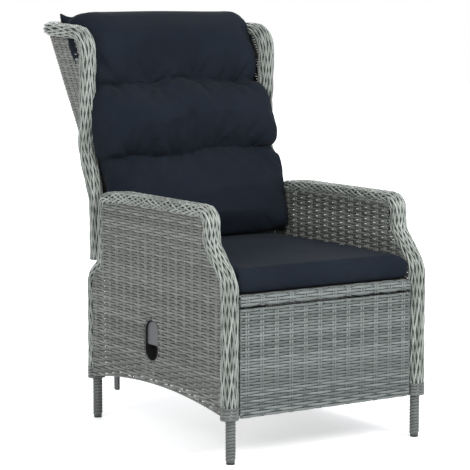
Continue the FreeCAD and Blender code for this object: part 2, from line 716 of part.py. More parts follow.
def make_wing(name, side):
    half_width = (size("roll_outer") - size("roll_inner")) / 2
    depth = size("roll_half_depth")
    section = [(edge, None) for edge in
               rectangle((-half_width, -depth), (half_width, depth), size("roll_corner"))]
    roll = swept(wing_route(), wing_bends(), section)
    keep(roll, "wing_roll_" + name, Vector(side * roll_centre(), 0, 0))

    route, bends = offset_route(wing_route(), wing_bends(), depth + size("gap"))
    line = back_line(0, 0, 0)
    knee, corner, end = route[2], route[3], route[4]
    low = size("wing_low")
    share = (low - knee[1]) / (corner[1] - knee[1])
    front_low = (knee[0] + (corner[0] - knee[0]) * share, low)
    up_high = (line[4] - line[3]).normalize()
    rear_low = line[3] + up_high * ((low - line[3].y) / up_high.y)
    rear_top = line[3] + up_high * ((end[1] - size("gap") - line[3].y) / up_high.y)
    top_share = (rear_top.x - corner[0]) / (end[0] - corner[0])
    top = corner[1] + (end[1] - corner[1]) * min(top_share, 1)
    points = [front_low, corner, (min(rear_top.x, end[0]), top), (rear_low.x, rear_low.y)]
    edges = rounded(points, [0, bends[3], 0, 0], True)
    wing = slab(edges, "sizes.wing_skin")
    face = size("wing_face")
    keep(wing, "wing_" + name, Vector(face - size("wing_skin") if side > 0 else -face, 0, 0))


def make_top_roll():
    half = size("roll_inner") - size("gap")
    bar = rod("sizes.roll_half_depth", "2 * (sizes.roll_inner - sizes.gap)")
    rear, level = wing_top()
    keep(at(bar, -half, rear - size("wing_top_drop"), level - size("wing_top_drop")), "top_roll")


def make_levers():
    top, _ = back_points()
    low, (y, z) = size("lever_low"), pivot()
    narrow, wide, slim = size("lever_half_low"), size("lever_half_pivot"), size("lever_half_top")
    lean = (top - Vector(y, z, 0)).normalize()
    side_step = Vector(-lean.y, lean.x, 0) * slim
    outline = [(y - narrow, low), (y + narrow, low), (y + wide, z),
               (top.x - side_step.x, top.y - side_step.y),
               (top.x + side_step.x, top.y + side_step.y), (y - wide, z)]
    tip, waist = size("lever_tip_round"), size("lever_waist_round")
    for name, side in SIDES:
        edges = rounded(outline, [tip, tip, waist, 0, 0, waist], True)
        edges.append(circle(pivot(), size("pivot_bolt_radius") + size("running")))
        edges.append(circle(link_rear(), size("link_pin_radius") + size("running")))
        body = slab(edges, "sizes.lever_plate")
        seat = along_x("sizes.back_tube_radius + sizes.running", "sizes.lever_plate", (top.x, top.y))
        start = size("lever_inner") if side > 0 else -size("lever_inner") - size("lever_plate")
        keep(cut(body, seat), "lever_arm_" + name, Vector(start, 0, 0))
    pin_low = size("lever_inner") - size("link_gap") - size("link_plate")
    width = size("lever_plate") + size("link_gap") + size("link_plate")
    pins = mirrored(pin_low, width, lambda: along_x("sizes.link_pin_radius", "%f" % width, link_rear()))
    keep(group(*pins), "lever_link_pins")
    half = size("lever_inner") - size("gap")
    bar = hollow_bar("sizes.seat_tube_radius", "sizes.tube_wall", "2 * (sizes.lever_inner - sizes.gap)")
    keep(at(bar, -half, size("cross_place"), size("cross_level")), "lever_cross_tube")


# Back cushion, as (distance up the back, distance in front of it): front from top to bottom, top edge
# and the bulge over the arms, whose distances start at pillow_bulge_start.
PILLOW_FRONT = ((626, 160), (515, 159), (422, 148), (360, 152), (271, 146), (182, 147), (16, 142))
PILLOW_TOP = ((680, 64), (664, 131))
PILLOW_BULGE = ((-33, 145), (37, 146), (116, 150), (134, 124), (80, 90), (8, 93), (-22, 97))
PILLOW_FRONT_ROUNDS = (25, 25, 60, 30, 60, 60, 60)
PILLOW_TOP_ROUNDS = (12, 25)
PILLOW_BULGE_ROUNDS = (6, 20, 12, 8, 20, 20, 6)


def back_point(distance, offset):
    """The point at a distance up the back's rear line, moved forwards by offset."""
    foot, bend_start, _, bend_end, _ = back_line(offset)
    up_low, out_low = lean_vectors(size("lean_low"))
    up_high, out_high = lean_vectors(size("lean_high"))
    arc = size("back_bend") * math.radians(size("lean_high") - size("lean_low"))
    beyond = distance - size("low_run")
    if beyond <= 0:
        spot = foot + up_low * distance
    elif beyond < arc:
        out = lean_vectors(size("lean_low") + math.degrees(beyond / size("back_bend")))[1]
        spot = bend_start + (out - out_low) * (size("back_bend") + offset)
    else:
        spot = bend_end + up_high * (beyond - arc)
    return spot.x, spot.y


def make_pillow():
    """Closed profile from the cushion's front curve to the front panel, plus side bulges."""
    rear_offset = front_panel_offset() + size("back_skin") + size("pillow_set")
    a, b, c, d, e = back_line(rear_offset, size("pillow_start"), 0)
    points = [(d.x, d.y), (e.x, e.y)] + [back_point(*place) for place in PILLOW_TOP + PILLOW_FRONT]
    points += [(a.x, a.y), (b.x, b.y)]
    end_round = size("pillow_end_round")
    radii = [0, end_round, *PILLOW_TOP_ROUNDS, *PILLOW_FRONT_ROUNDS, end_round, 0]
    edges = rounded(points, radii) + [Part.Arc(b, c, d)]
    main = slab(edges, "2 * sizes.pillow_half_width")
    main = at(main, -size("pillow_half_width"), 0, 0)
    start = size("pillow_bulge_start")
    bulge = [back_point(start + distance, offset) for distance, offset in PILLOW_BULGE]
    wide = slab(rounded(bulge, PILLOW_BULGE_ROUNDS, True), "2 * sizes.pillow_bulge_half")
    wide = at(wide, -size("pillow_bulge_half"), 0, 0)
    keep(fuse(main, wide), "back_cushion")


# ------------------------------------------------------------------ gas spring
def spring_ends():
    """Front pin centre, rear pin centre and the unit direction from front to rear."""
    front = Vector(0, size("seat_mid_place"), size("spring_front_level"))
    rear = Vector(0, size("spring_rear_place"), size("spring_rear_level"))
    return front, rear, (rear - front).normalize()


def on_spring(piece, start, along):
    return at(piece, start.x + along.x, start.y + along.y, start.z + along.z)


def make_spring():
    front, rear, way = spring_ends()
    forward = way * -1
    side = Vector(1, 0, 0)
    eye_half = size("spring_eye_half")
    body = rod("sizes.spring_body_radius", "sizes.spring_body_length", forward)
    body = on_spring(body, rear, forward * size("spring_body_start"))
    eye = at(rod("sizes.spring_eye_radius", "2 * sizes.spring_eye_half", side), -eye_half, rear.y, rear.z)
    neck = rod("sizes.spring_neck_radius", "sizes.spring_body_start + sizes.spring_end_wall / 2", forward)
    neck = on_spring(neck, rear, forward)
    hole = at(rod("sizes.spring_eye_hole", "2 * sizes.spring_eye_half", side), -eye_half, rear.y, rear.z)
    bore = rod("sizes.spring_bore_radius", "sizes.spring_body_length - 2 * sizes.spring_end_wall", forward)
    bore = on_spring(bore, rear, forward * (size("spring_body_start") + size("spring_end_wall")))
    guide = rod("sizes.spring_rod_radius + sizes.running", "4 * sizes.spring_end_wall", forward)
    guide_start = size("spring_body_start") + size("spring_body_length") - 2 * size("spring_end_wall")
    guide = on_spring(guide, rear, forward * guide_start)
    keep(cut(fuse(body, neck, eye), hole, bore, guide), "gas_cylinder")

    shaft = on_spring(rod("sizes.spring_rod_radius", "sizes.spring_rod_length", way), front, way)
    shaft_end = size("spring_rod_length") + 1 - size("piston_height")
    piston = on_spring(rod("sizes.piston_radius", "sizes.piston_height", way), front, way * shaft_end)
    head = rod("sizes.rod_head_radius", "sizes.rod_head_front + sizes.rod_head_rear", way)
    head = on_spring(head, front, way * -size("rod_head_front"))
    pin_hole = rod("sizes.spring_pin_radius + sizes.running", "4 * sizes.spring_eye_half", side)
    pin_hole = at(pin_hole, -2 * eye_half, front.y, front.z)
    release_hole = rod("sizes.release_radius + sizes.running",
                       "sizes.rod_head_front - sizes.release_hole", way)
    release_hole = on_spring(release_hole, front, way * -size("rod_head_front"))
    keep(cut(fuse(shaft, piston, head), pin_hole, release_hole), "gas_rod")

    length = "sizes.rod_head_front + sizes.release_out - sizes.release_in"
    pin = rod("sizes.release_radius", length, way)
    keep(on_spring(pin, front, way * -(size("rod_head_front") + size("release_out"))), "release_pin")


def make_spring_mounts():
    front, rear, way = spring_ends()
    gap_half, plate = size("spring_gap_half"), size("plate")
    level = size("seat_tube_level")

    def bracket():
        edges = stadium((front.y, front.z), (front.y, level - size("bracket_radius")), size("bracket_radius"))
        edges.append(circle((front.y, front.z), size("spring_pin_radius") + size("running")))
        body = slab(edges, "sizes.plate")
        return cut(body, along_x("sizes.seat_tube_radius + sizes.running", "sizes.plate", (front.y, level)))

    keep(group(*mirrored(gap_half, plate, bracket)), "spring_brackets")

    def lug():
        cross = (size("cross_place"), size("cross_level"))
        edges = stadium((rear.y, rear.z), cross, size("spring_body_radius"))
        edges.append(circle((rear.y, rear.z), size("spring_pin_radius") + size("running")))
        body = slab(edges, "sizes.plate")
        return cut(body, along_x("sizes.seat_tube_radius + sizes.running", "sizes.plate", cross))

    keep(group(*mirrored(gap_half, plate, lug)), "spring_lugs")
    half = gap_half + plate
    for name, centre in (("spring_front_pin", front), ("spring_rear_pin", rear)):
        pin = rod("sizes.spring_pin_radius", "2 * (sizes.spring_gap_half + sizes.plate)")
        keep(at(pin, -half, centre.y, centre.z), name)


# ------------------------------------------------------------------ release paddle
def recess_face():
    return -size("outer_face") - size("recess_lip")


def make_release():
    centre = (size("recess_place"), size("recess_level"))
    width, height, flange = size("recess_width"), size("recess_height"), size("recess_flange")
    lip = slab(oblong(centre, width, height), "sizes.recess_lip - sizes.running")
    cup = slab(oblong(centre, width - 2 * flange, height - 2 * flange),
               "sizes.recess_lip + sizes.recess_depth")
    wall = flange + size("recess_wall")
    inner = slab(oblong(centre, width - 2 * wall, height - 2 * wall),
                 "sizes.recess_lip + sizes.recess_depth - sizes.recess_wall")
    pin_y = size("recess_place")
    pin_x = size("paddle_pin_set")
    pin_z = size("paddle_pin_level")
    pin_length = size("recess_width") - 2 * wall - size("cable_hole_radius") - 2 * size("gap")
    hole = rod("sizes.paddle_pin_radius + sizes.running", "%f" % pin_length, Vector(0, 1, 0))
    hole = at(hole, pin_x, pin_y - pin_length / 2, pin_z)
    housing = cut(fuse(lip, cup), inner, hole)
    keep(housing, "lever_housing", Vector(recess_face(), 0, 0))
    pin = rod("sizes.paddle_pin_radius", "%f" % pin_length, Vector(0, 1, 0))
    place = Vector(recess_face() + pin_x, pin_y - pin_length / 2, pin_z)
    keep(pin, "lever_pin", place)

    half = size("paddle_width") / 2
    corner, tip = size("paddle_corner"), size("paddle_tip_round")
    low, high = (pin_y - half, size("paddle_low")), (pin_y + half, size("paddle_high"))
    outline = rounded([low, (high[0], low[1]), high, (low[0], high[1])], [tip, tip, corner, corner], True)
    plate = at(slab(outline, "sizes.paddle_skin"), size("paddle_set"), 0, 0)
    length = size("paddle_barrel_length")
    barrel = rod("sizes.paddle_barrel_radius", "sizes.paddle_barrel_length", Vector(0, 1, 0))
    barrel = at(barrel, pin_x, pin_y - length / 2, pin_z)
    web = block("sizes.paddle_pin_set - sizes.paddle_set", "sizes.paddle_barrel_length",
                "2 * sizes.paddle_barrel_radius")
    web = at(web, size("paddle_set"), pin_y - length / 2, pin_z - size("paddle_barrel_radius"))
    bore = rod("sizes.paddle_pin_radius + sizes.running", "sizes.paddle_barrel_length", Vector(0, 1, 0))
    bore = at(bore, pin_x, pin_y - length / 2, pin_z)
    keep(cut(fuse(plate, barrel, web), bore), "release_paddle", Vector(recess_face(), 0, 0))


def cable_route():
    """Bowden cable from the back of the paddle housing to the left spring bracket, in gentle turns."""
    start = recess_face() + size("recess_lip") + size("recess_depth") + size("gap")
    end = -size("spring_gap_half") - size("plate") - size("gap") - size("cable_radius") * 0.6
    return [(start, -17, 290), (-215, -20, 291), (-150, -34, 303), (-84, -50, 328), (end, -60, 369)]


def make_cable():
    points = [Vector(*p) for p in cable_route()]
    edges = []
    last = points[0]
    for before, here, after in zip(points, points[1:], points[2:]):
        back, ahead = (before - here), (after - here)
        short = min(back.Length, ahead.Length)
        back.normalize()
        ahead.normalize()
        half = back.getAngle(ahead) / 2
        run = short * 0.45
        radius = run * math.tan(half)
        inward = (back + ahead).normalize() * (radius / math.sin(half) - radius)
        start, end = here + back * run, here + ahead * run
        edges.append(Part.LineSegment(last, start).toShape())
        edges.append(Part.Arc(start, here + inward, end).toShape())
        print("cable bend radius %.0f" % radius)
        last = end
    edges.append(Part.LineSegment(last, points[-1]).toShape())
    wire = Part.Wire(edges)
    ring = Part.Wire(Part.makeCircle(size("cable_radius"), points[0], points[1] - points[0]))
    cable = doc.addObject("Part::Feature", "cable")
    cable.Shape = wire.makePipeShell([ring], True, False)
    print("cable length %.0f" % wire.Length, "volume ratio %.3f" %
          (cable.Shape.Volume / (wire.Length * math.pi * size("cable_radius") ** 2)))
    keep(cable, "release_cable")


# ------------------------------------------------------------------ build
for name, side in SIDES:
    make_side_tube(name, side)
    make_arch_rail(name, side)
    make_side_panels(name, side)
    make_rolls(name, side)
    make_wing(name, side)
make_legs()
make_seat_frame()
make_seat_cushion()
make_base_plates()
make_footrest()
make_links()
make_back_frame()
make_back_panels()
make_top_roll()
make_levers()
make_pillow()
make_spring()
make_spring_mounts()
make_release()
make_cable()
doc.recompute()

for item in doc.Objects:
    if "Invalid" in item.State or "Error" in item.State:
        raise RuntimeError("%s (%s) failed: %s" % (item.Label, item.Name, item.State))
for piece in subparts:
    if piece.Shape.isNull() or not piece.Shape.isValid():
        raise RuntimeError("%s has no valid shape" % piece.Label)

# The origin lies under the middle of the whole box.
whole = FreeCAD.BoundBox()
for piece in subparts:
    whole.add(piece.Shape.optimalBoundingBox(False, False))
shift = Vector(-(whole.XMin + whole.XMax) / 2, -(whole.YMin + whole.YMax) / 2, -whole.ZMin)
lengths = (whole.XLength, whole.YLength, whole.ZLength)
print("shift", [round(v, 4) for v in shift], "box", [round(v, 2) for v in lengths])
for piece in subparts:
    piece.Placement = FreeCAD.Placement(piece.Placement.Base + shift, piece.Placement.Rotation)
doc.recompute()

for piece in subparts:
    piece.Shape.exportStep("parts/%s.step" % piece.Label)
print(len(subparts), "sub-parts")
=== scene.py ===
import json
import math
import bpy
import bmesh
import numpy as np
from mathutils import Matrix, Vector


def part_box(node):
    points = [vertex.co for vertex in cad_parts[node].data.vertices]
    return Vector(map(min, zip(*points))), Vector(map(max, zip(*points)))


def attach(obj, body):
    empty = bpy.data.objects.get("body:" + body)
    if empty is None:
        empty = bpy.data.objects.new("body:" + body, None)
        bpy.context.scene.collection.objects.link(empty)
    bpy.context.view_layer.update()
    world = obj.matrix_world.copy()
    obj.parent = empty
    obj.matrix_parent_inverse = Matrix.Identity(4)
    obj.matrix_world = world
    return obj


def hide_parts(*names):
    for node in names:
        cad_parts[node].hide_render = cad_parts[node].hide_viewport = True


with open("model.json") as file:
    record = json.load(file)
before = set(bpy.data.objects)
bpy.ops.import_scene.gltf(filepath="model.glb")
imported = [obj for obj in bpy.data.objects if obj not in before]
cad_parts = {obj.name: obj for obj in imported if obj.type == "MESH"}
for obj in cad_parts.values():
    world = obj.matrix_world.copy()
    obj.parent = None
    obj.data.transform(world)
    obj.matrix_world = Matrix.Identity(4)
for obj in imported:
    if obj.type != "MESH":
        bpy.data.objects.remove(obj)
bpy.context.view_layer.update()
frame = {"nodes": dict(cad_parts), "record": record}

# ------------------------------------------------------------------ sizes, in metres
MM = 0.001
LEFT, RIGHT = -1, 1
SIDES = (("left", LEFT), ("right", RIGHT))

ROW_PITCH = 7.5 * MM            # woven rows
ROW_HALF = 3.45 * MM
ROW_HEIGHT = 2.2 * MM
ROW_SWING = 2.0 * MM            # how far a row goes over and under
SIDE_PITCH = 38 * MM            # uprights of the sides, each a pair of strands
FRONT_PITCH = 44.5 * MM
WING_PITCH = 27 * MM
FRONT_ROW = 7.35 * MM
STAKE_HALF = 3.2 * MM
STAKE_SET = 3.5 * MM            # half the distance between the two strands of a pair
STAKE_HEIGHT = 2.0 * MM
STRAND_HALF = 2.7 * MM          # braid strands
STRAND_HEIGHT = 2.9 * MM
BRAID_SWING = 1.3 * MM
BRAID_COUNT = 12
STEEP, SHALLOW = math.radians(19), math.radians(8.5)    # lay of the strands on arm tops and uprights
BRAID_INSET = 1.5 * MM          # braid outline inside the roll's own
BRAID_SET = 1.3 * MM            # strand backs inside the braid outline
CORE_INSET = 4.2 * MM
WANDER = 0.010                  # how far a braid strand strays, as a share of the girth
WANDER_SPREAD = 6.28
WANDER_WAVE = (0.19, 0.2)       # shortest wave of that straying, and how much longer it may be
WRAP_PITCH = 8.4 * MM           # flat strip wound round the legs
WRAP_RADIUS = 11.4 * MM
WRAP_COVER = 0.47               # half width of the strip, as a share of its pitch
LEG_INSET = 12.7 * MM           # leg centre from the edge of the wraps

ARM_LOW, ARM_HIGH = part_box("arm_roll_left")
ROLL_X = -(ARM_LOW.x + ARM_HIGH.x) / 2
ROLL_HALF_WIDTH = (ARM_HIGH.x - ARM_LOW.x) / 2
ROLL_HALF_DEPTH = (ARM_HIGH.z - ARM_LOW.z) / 2
ARM_LEVEL = (ARM_LOW.z + ARM_HIGH.z) / 2
FRONT_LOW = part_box("front_roll_left")[0]
REAR_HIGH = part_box("rear_roll_left")[1]
FRONT_LEG = FRONT_LOW.y + ROLL_HALF_DEPTH
REAR_LEG = REAR_HIGH.y - ROLL_HALF_DEPTH
ROLL_BOTTOM = FRONT_LOW.z
FRONT_POST = FRONT_LEG + 82 * MM
REAR_POST = REAR_LEG - 60 * MM
ARM_JOG = (455 * MM, 545 * MM)
REAR_JOG = (393 * MM, 443 * MM)
ARM_KNEE = FRONT_LEG + 490 * MM
ARM_DROOP = 11 * MM
WING_LOW, WING_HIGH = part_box("wing_roll_left")
WING_FACE = -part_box("wing_left")[0].x
BACK_FOOT = Vector((0, WING_LOW.y + 28 * MM, WING_LOW.z))
LEAN_LOW, LEAN_HIGH = math.radians(13), math.radians(32)
LOW_RUN, HIGH_RUN, BACK_BEND = 225 * MM, 295 * MM, 458 * MM
ARCH_LOW, ARCH_RISE, ARCH_SHIFT = 121 * MM, 32 * MM, 8 * MM

NOISE_ROUGHNESS = 0.55
CLOTH_FRAMES = 18
FLOOR_HALF = 14.0
GLOW_NEAR, GLOW_FAR = (0.5, 0.5), (1.6, 1.0)    # (distance from the middle, strength of the floor's glow)


# ------------------------------------------------------------------ curves
def rounded_path(points, radii, step):
    """Points along straight runs with tangent arcs at the corners, about one step apart."""
    corners = [Vector(p) for p in points]
    line = [corners[0]]
    for i in range(1, len(corners) - 1):
        back = (corners[i - 1] - corners[i]).normalized()
        ahead = (corners[i + 1] - corners[i]).normalized()
        half = back.angle(ahead) / 2
        run = radii[i] / math.tan(half)
        centre = corners[i] + (back + ahead).normalized() * (radii[i] / math.sin(half))
        start, end = corners[i] + back * run, corners[i] + ahead * run
        one, two = start - centre, end - centre
        turn = one.angle(two)
        count = max(3, int(turn * radii[i] / step) + 1)
        for k in range(count + 1):
            share = k / count
            arm = (one * math.sin((1 - share) * turn) + two * math.sin(share * turn)) / math.sin(turn)
            line.append(centre + arm)
    line.append(corners[-1])
    raw = np.array([tuple(p) for p in line])
    return resample(raw, step)


def resample(raw, step):
    lengths = np.r_[0, np.cumsum(np.linalg.norm(np.diff(raw, axis=0), axis=1))]
    count = max(2, int(lengths[-1] / step) + 1)
    wanted = np.linspace(0, lengths[-1], count)
    return np.stack([np.interp(wanted, lengths, raw[:, k]) for k in range(3)], 1)


def unit(rows):
    return rows / np.maximum(np.linalg.norm(rows, axis=-1, keepdims=True), 1e-9)


def tangents(line):
    return unit(np.gradient(line, axis=0))


def carried_frame(line, first_side):
    """Side and normal vectors carried along a line without twist."""
    along = tangents(line)
    side = np.zeros_like(line)
    side[0] = first_side
    for k in range(1, len(line)):
        moved = side[k - 1] - along[k] * np.dot(side[k - 1], along[k])
        side[k] = moved / np.linalg.norm(moved)
    return along, side, np.cross(along, side)


# ------------------------------------------------------------------ strand builder
class Strands:
    """Collects ribbons into one mesh, with a tone for each ribbon."""

    def __init__(self):
        self.points, self.quads, self.caps, self.tones = [], [], [], []
        self.count = 0
        self.random = np.random.default_rng(7)

    def ribbon(self, line, side, normal, section, tone=None, closed=False):
        """section is rows of (across, outwards), going round once."""
        section = np.asarray(section, float)
        n = len(line)
        if section.ndim == 2:
            section = np.repeat(section[None], n, 0)
        m = section.shape[1]
        mesh = (line[:, None, :] + side[:, None, :] * section[:, :, 0:1]
                + normal[:, None, :] * section[:, :, 1:2]).reshape(-1, 3)
        first = self.count
        rings = n if closed else n - 1
        i, j = np.meshgrid(np.arange(rings), np.arange(m), indexing="ij")
        after, beside = (i + 1) % n, (j + 1) % m
        quads = np.stack([i * m + j, i * m + beside, after * m + beside, after * m + j], -1).reshape(-1, 4)
        self.points.append(mesh)
        self.quads.append(quads + first)
        if not closed:
            self.caps.append([first + k for k in range(m)][::-1])
            self.caps.append([first + (n - 1) * m + k for k in range(m)])
        self.count += len(mesh)
        value = self.random.random() if tone is None else tone
        self.tones.append(np.full(len(mesh), value, np.float32))

    def build(self, name, material):
        points = np.concatenate(self.points)
        quads = np.concatenate(self.quads)
        mesh = bpy.data.meshes.new(name)
        faces = quads.tolist() + self.caps
        mesh.from_pydata(points.tolist(), [], faces)
        mesh.update()
        tone = mesh.attributes.new("tone", "FLOAT", "POINT")
        tone.data.foreach_set("value", np.concatenate(self.tones))
        fix_normals(mesh)
        return finish_mesh(name, mesh, material)


def fix_normals(mesh):
    work = bmesh.new()
    work.from_mesh(mesh)
    bmesh.ops.recalc_face_normals(work, faces=work.faces)
    work.to_mesh(mesh)
    work.free()


def finish_mesh(name, mesh, material):
    piece = bpy.data.objects.new(name, mesh)
    bpy.context.scene.collection.objects.link(piece)
    mesh.materials.append(material)
    mesh.polygons.foreach_set("use_smooth", [True] * len(mesh.polygons))
    return piece


def domed_face(half, height):
    """The rounded face of a strand, as points (across, outwards) from one edge to the other."""
    rise = [(-half, 0), (-half * 0.8, height * 0.62), (-half * 0.3, height * 0.97)]
    return rise + [(-across, outwards) for across, outwards in rise[::-1]]


def full_round(half, height):
    """A flat strand that is rounded on both faces, for weave seen from both sides."""
    face = domed_face(half, height)
    return face + [(across, -outwards) for across, outwards in face[-2:0:-1]]


def half_round(half, height):
    """A strand with one rounded face and a slightly bulging back."""
    return domed_face(half, height) + [(0, -height * 0.15)]


# ------------------------------------------------------------------ materials
def new_material(name):
    material = bpy.data.materials.new(name)
    material.use_nodes = True
    nodes = material.node_tree.nodes
    shader = nodes["Principled BSDF"]
    return material, nodes, material.node_tree.links, shader


def noise(nodes, links, scale, detail):
    place = nodes.new("ShaderNodeTexCoord")
    texture = nodes.new("ShaderNodeTexNoise")
    texture.inputs["Scale"].default_value = scale
    texture.inputs["Detail"].default_value = detail
    texture.inputs["Roughness"].default_value = NOISE_ROUGHNESS
    links.new(place.outputs["Object"], texture.inputs["Vector"])
    return texture.outputs["Fac"]


def ramp(nodes, links, source, stops):
    node = nodes.new("ShaderNodeValToRGB")
    while len(node.color_ramp.elements) < len(stops):
        node.color_ramp.elements.new(0.5)
    for element, (place, colour) in zip(node.color_ramp.elements, stops):
        element.position = place
        element.color = (*colour, 1)
    links.new(source, node.inputs["Fac"])
    return node.outputs["Color"]


def mix_colour(nodes, links, one, two):
    """One colour multiplied by the other."""
    node = nodes.new("ShaderNodeMix")
    node.data_type = "RGBA"
    node.blend_type = "MULTIPLY"
    node.inputs["Factor"].default_value = 1.0
    links.new(one, node.inputs["A"])
    links.new(two, node.inputs["B"])
    return node.outputs["Result"]


def bump(nodes, links, shader, height, strength, distance):
    node = nodes.new("ShaderNodeBump")
    node.inputs["Strength"].default_value = strength
    node.inputs["Distance"].default_value = distance
    links.new(height, node.inputs["Height"])
    links.new(node.outputs["Normal"], shader.inputs["Normal"])


def strand_material(name, dark, middle, light, gloss=0.42):
    """Extruded polyethylene strand: a tone for each strand, fine streaks, slight dust."""
    material, nodes, links, shader = new_material(name)
    tone = nodes.new("ShaderNodeAttribute")
    tone.attribute_name = "tone"
    by_strand = ramp(nodes, links, tone.outputs["Fac"], [(0.0, dark), (0.5, middle), (1.0, light)])
    cloud = ramp(nodes, links, noise(nodes, links, 34, 5), [(0.3, (0.84,) * 3), (0.7, (1.1,) * 3)])
    mixed = mix_colour(nodes, links, by_strand, cloud)
    streak = noise(nodes, links, 420, 3)
    fine = ramp(nodes, links, streak, [(0.35, (0.93,) * 3), (0.65, (1.05,) * 3)])
    colour = mix_colour(nodes, links, mixed, fine)
    links.new(colour, shader.inputs["Base Color"])
    rough = nodes.new("ShaderNodeMapRange")
    rough.inputs["To Min"].default_value = gloss - 0.08
    rough.inputs["To Max"].default_value = gloss + 0.12
    links.new(streak, rough.inputs["Value"])
    links.new(rough.outputs["Result"], shader.inputs["Roughness"])
    bump(nodes, links, shader, streak, 0.25, 0.0006)
    return material


def fabric_material(name, deep, pale):
    """Closely woven outdoor polyester with a soft cloudiness and a faint sheen."""
    material, nodes, links, shader = new_material(name)
    place = nodes.new("ShaderNodeTexCoord")
    waves = []
    for direction in ("X", "Z", "Y"):
        wave = nodes.new("ShaderNodeTexWave")
        wave.bands_direction = direction
        wave.inputs["Scale"].default_value = 300
        wave.inputs["Distortion"].default_value = 0.6
        wave.inputs["Detail"].default_value = 1.0
        links.new(place.outputs["Object"], wave.inputs["Vector"])
        waves.append(wave.outputs["Fac"])
    weave = nodes.new("ShaderNodeMath")
    weave.operation = "MAXIMUM"
    links.new(waves[0], weave.inputs[0])
    links.new(waves[1], weave.inputs[1])
    threads = nodes.new("ShaderNodeMath")
    threads.operation = "ADD"
    links.new(weave.outputs[0], threads.inputs[0])
    links.new(noise(nodes, links, 900, 2), threads.inputs[1])
    cloud = noise(nodes, links, 6, 5)
    base = ramp(nodes, links, cloud, [(0.3, deep), (0.75, pale)])
    thread = ramp(nodes, links, threads.outputs[0], [(0.3, (0.82,) * 3), (1.0, (1.12,) * 3)])
    colour = mix_colour(nodes, links, base, thread)
    links.new(colour, shader.inputs["Base Color"])
    shader.inputs["Roughness"].default_value = 0.9
    shader.inputs["Sheen Weight"].default_value = 0.02
    shader.inputs["Sheen Roughness"].default_value = 0.4
    shader.inputs["Specular IOR Level"].default_value = 0.08
    bump(nodes, links, shader, threads.outputs[0], 0.22, 0.0004)
    return material


def moulded_material(name, colour, rough, grain_scale=700, metallic=0.0):
    material, nodes, links, shader = new_material(name)
    cloud = noise(nodes, links, 22, 4)
    low = tuple(c * 0.85 for c in colour)
    high = tuple(min(c * 1.12, 1) for c in colour)
    links.new(ramp(nodes, links, cloud, [(0.3, low), (0.7, high)]), shader.inputs["Base Color"])
    shader.inputs["Metallic"].default_value = metallic
    spread = nodes.new("ShaderNodeMapRange")
    spread.inputs["To Min"].default_value = max(rough - 0.07, 0.05)
    spread.inputs["To Max"].default_value = rough + 0.1
    links.new(cloud, spread.inputs["Value"])
    links.new(spread.outputs["Result"], shader.inputs["Roughness"])
    bump(nodes, links, shader, noise(nodes, links, grain_scale, 2), 0.12, 0.0003)
    return material


SIDE_WEAVE = strand_material("side_weave", (0.095, 0.100, 0.091), (0.141, 0.148, 0.135),
                             (0.198, 0.205, 0.190))
FRONT_WEAVE = strand_material("front_weave", (0.091, 0.106, 0.101), (0.131, 0.150, 0.143),
                              (0.182, 0.204, 0.197))
BRAID = strand_material("edge_braid", (0.160, 0.178, 0.158), (0.248, 0.270, 0.244),
                        (0.344, 0.372, 0.344), 0.36)
LEG_STRIP = strand_material("leg_strip", (0.073, 0.081, 0.076), (0.101, 0.112, 0.105), (0.129, 0.143, 0.134))
# painted shade: the braid's core takes the dark tone of the shadow seen in the gaps between the strands
GAP_SHADE_CORE = moulded_material("gap_shade_core", (0.045, 0.052, 0.047), 0.7)
STEEL = moulded_material("powder_coat", (0.075, 0.08, 0.085), 0.45)
ZINC = moulded_material("zinc_steel", (0.55, 0.56, 0.57), 0.3, 500, 1.0)
BLACK = moulded_material("black_plastic", (0.012, 0.012, 0.013), 0.42)
PADDLE = moulded_material("paddle_plastic", (0.05, 0.053, 0.058), 0.38)
NYLON = moulded_material("nylon", (0.55, 0.55, 0.52), 0.5)
RUBBER = moulded_material("cable_sheath", (0.02, 0.02, 0.02), 0.55)
FABRIC = fabric_material("cushion_fabric", (0.0080, 0.0112, 0.0168), (0.0120, 0.0160, 0.0230))


# ------------------------------------------------------------------ weave
def unbroken_runs(mask):
    """Start and end of each unbroken run of True."""
    edges = np.flatnonzero(np.diff(np.r_[0, mask.astype(int), 0]))
    return list(zip(edges[0::2], edges[1::2]))


def stake_pair(build, line, wide, out):
    """Two half-round strands side by side, in a fixed light tone that is a painted highlight."""
    for side in (-STAKE_SET, STAKE_SET):
        # painted highlight: the stakes get a light tone so they read as lit against the rows
        build.ribbon(line + wide * side, wide, out, half_round(STAKE_HALF, STAKE_HEIGHT), tone=0.85)


def weave_flat(build, place, across, up, normal, inside, span, levels, stake_pitch, row_pitch=ROW_PITCH):
    """Plain weave on a plane: rows along across, stakes along up. inside(s, t) says where it is woven."""
    origin, across, up, normal = (np.array(v, float) for v in (place, across, up, normal))
    low_s, high_s = span
    low_t, high_t = levels
    stakes = max(2, int(round((high_s - low_s) / stake_pitch)))
    pitch = (high_s - low_s) / stakes
    rows = max(1, int(round((high_t - low_t) / row_pitch)))
    s = np.linspace(low_s, high_s, stakes * 8 + 1)
    for row in range(rows):
        t = low_t + (row + 0.5) * (high_t - low_t) / rows
        mask = inside(s, np.full_like(s, t))
        swing = ROW_SWING * np.cos(np.pi * ((s - low_s) / pitch - 0.5) + np.pi * row)
        for a, b in unbroken_runs(mask):
            if b - a < 3:
                continue
            part = s[a:b]
            line = origin + part[:, None] * across + t * up + (swing[a:b] + 0.2 * MM)[:, None] * normal
            wide = np.repeat(up[None], len(part), 0)
            out = np.repeat(normal[None], len(part), 0)
            build.ribbon(line, wide, out, half_round(ROW_HALF, ROW_HEIGHT))
    t = np.linspace(low_t, high_t, rows * 2 + 1)
    for stake in range(stakes):
        at = low_s + (stake + 0.5) * pitch
        mask = inside(np.full_like(t, at), t)
        for a, b in unbroken_runs(mask):
            if b - a < 3:
                continue
            ends = np.array([t[a], t[b - 1]])
            line = origin + at * across + ends[:, None] * up + 0.1 * MM * normal
            stake_pair(build, line, np.repeat(across[None], 2, 0), np.repeat(normal[None], 2, 0))


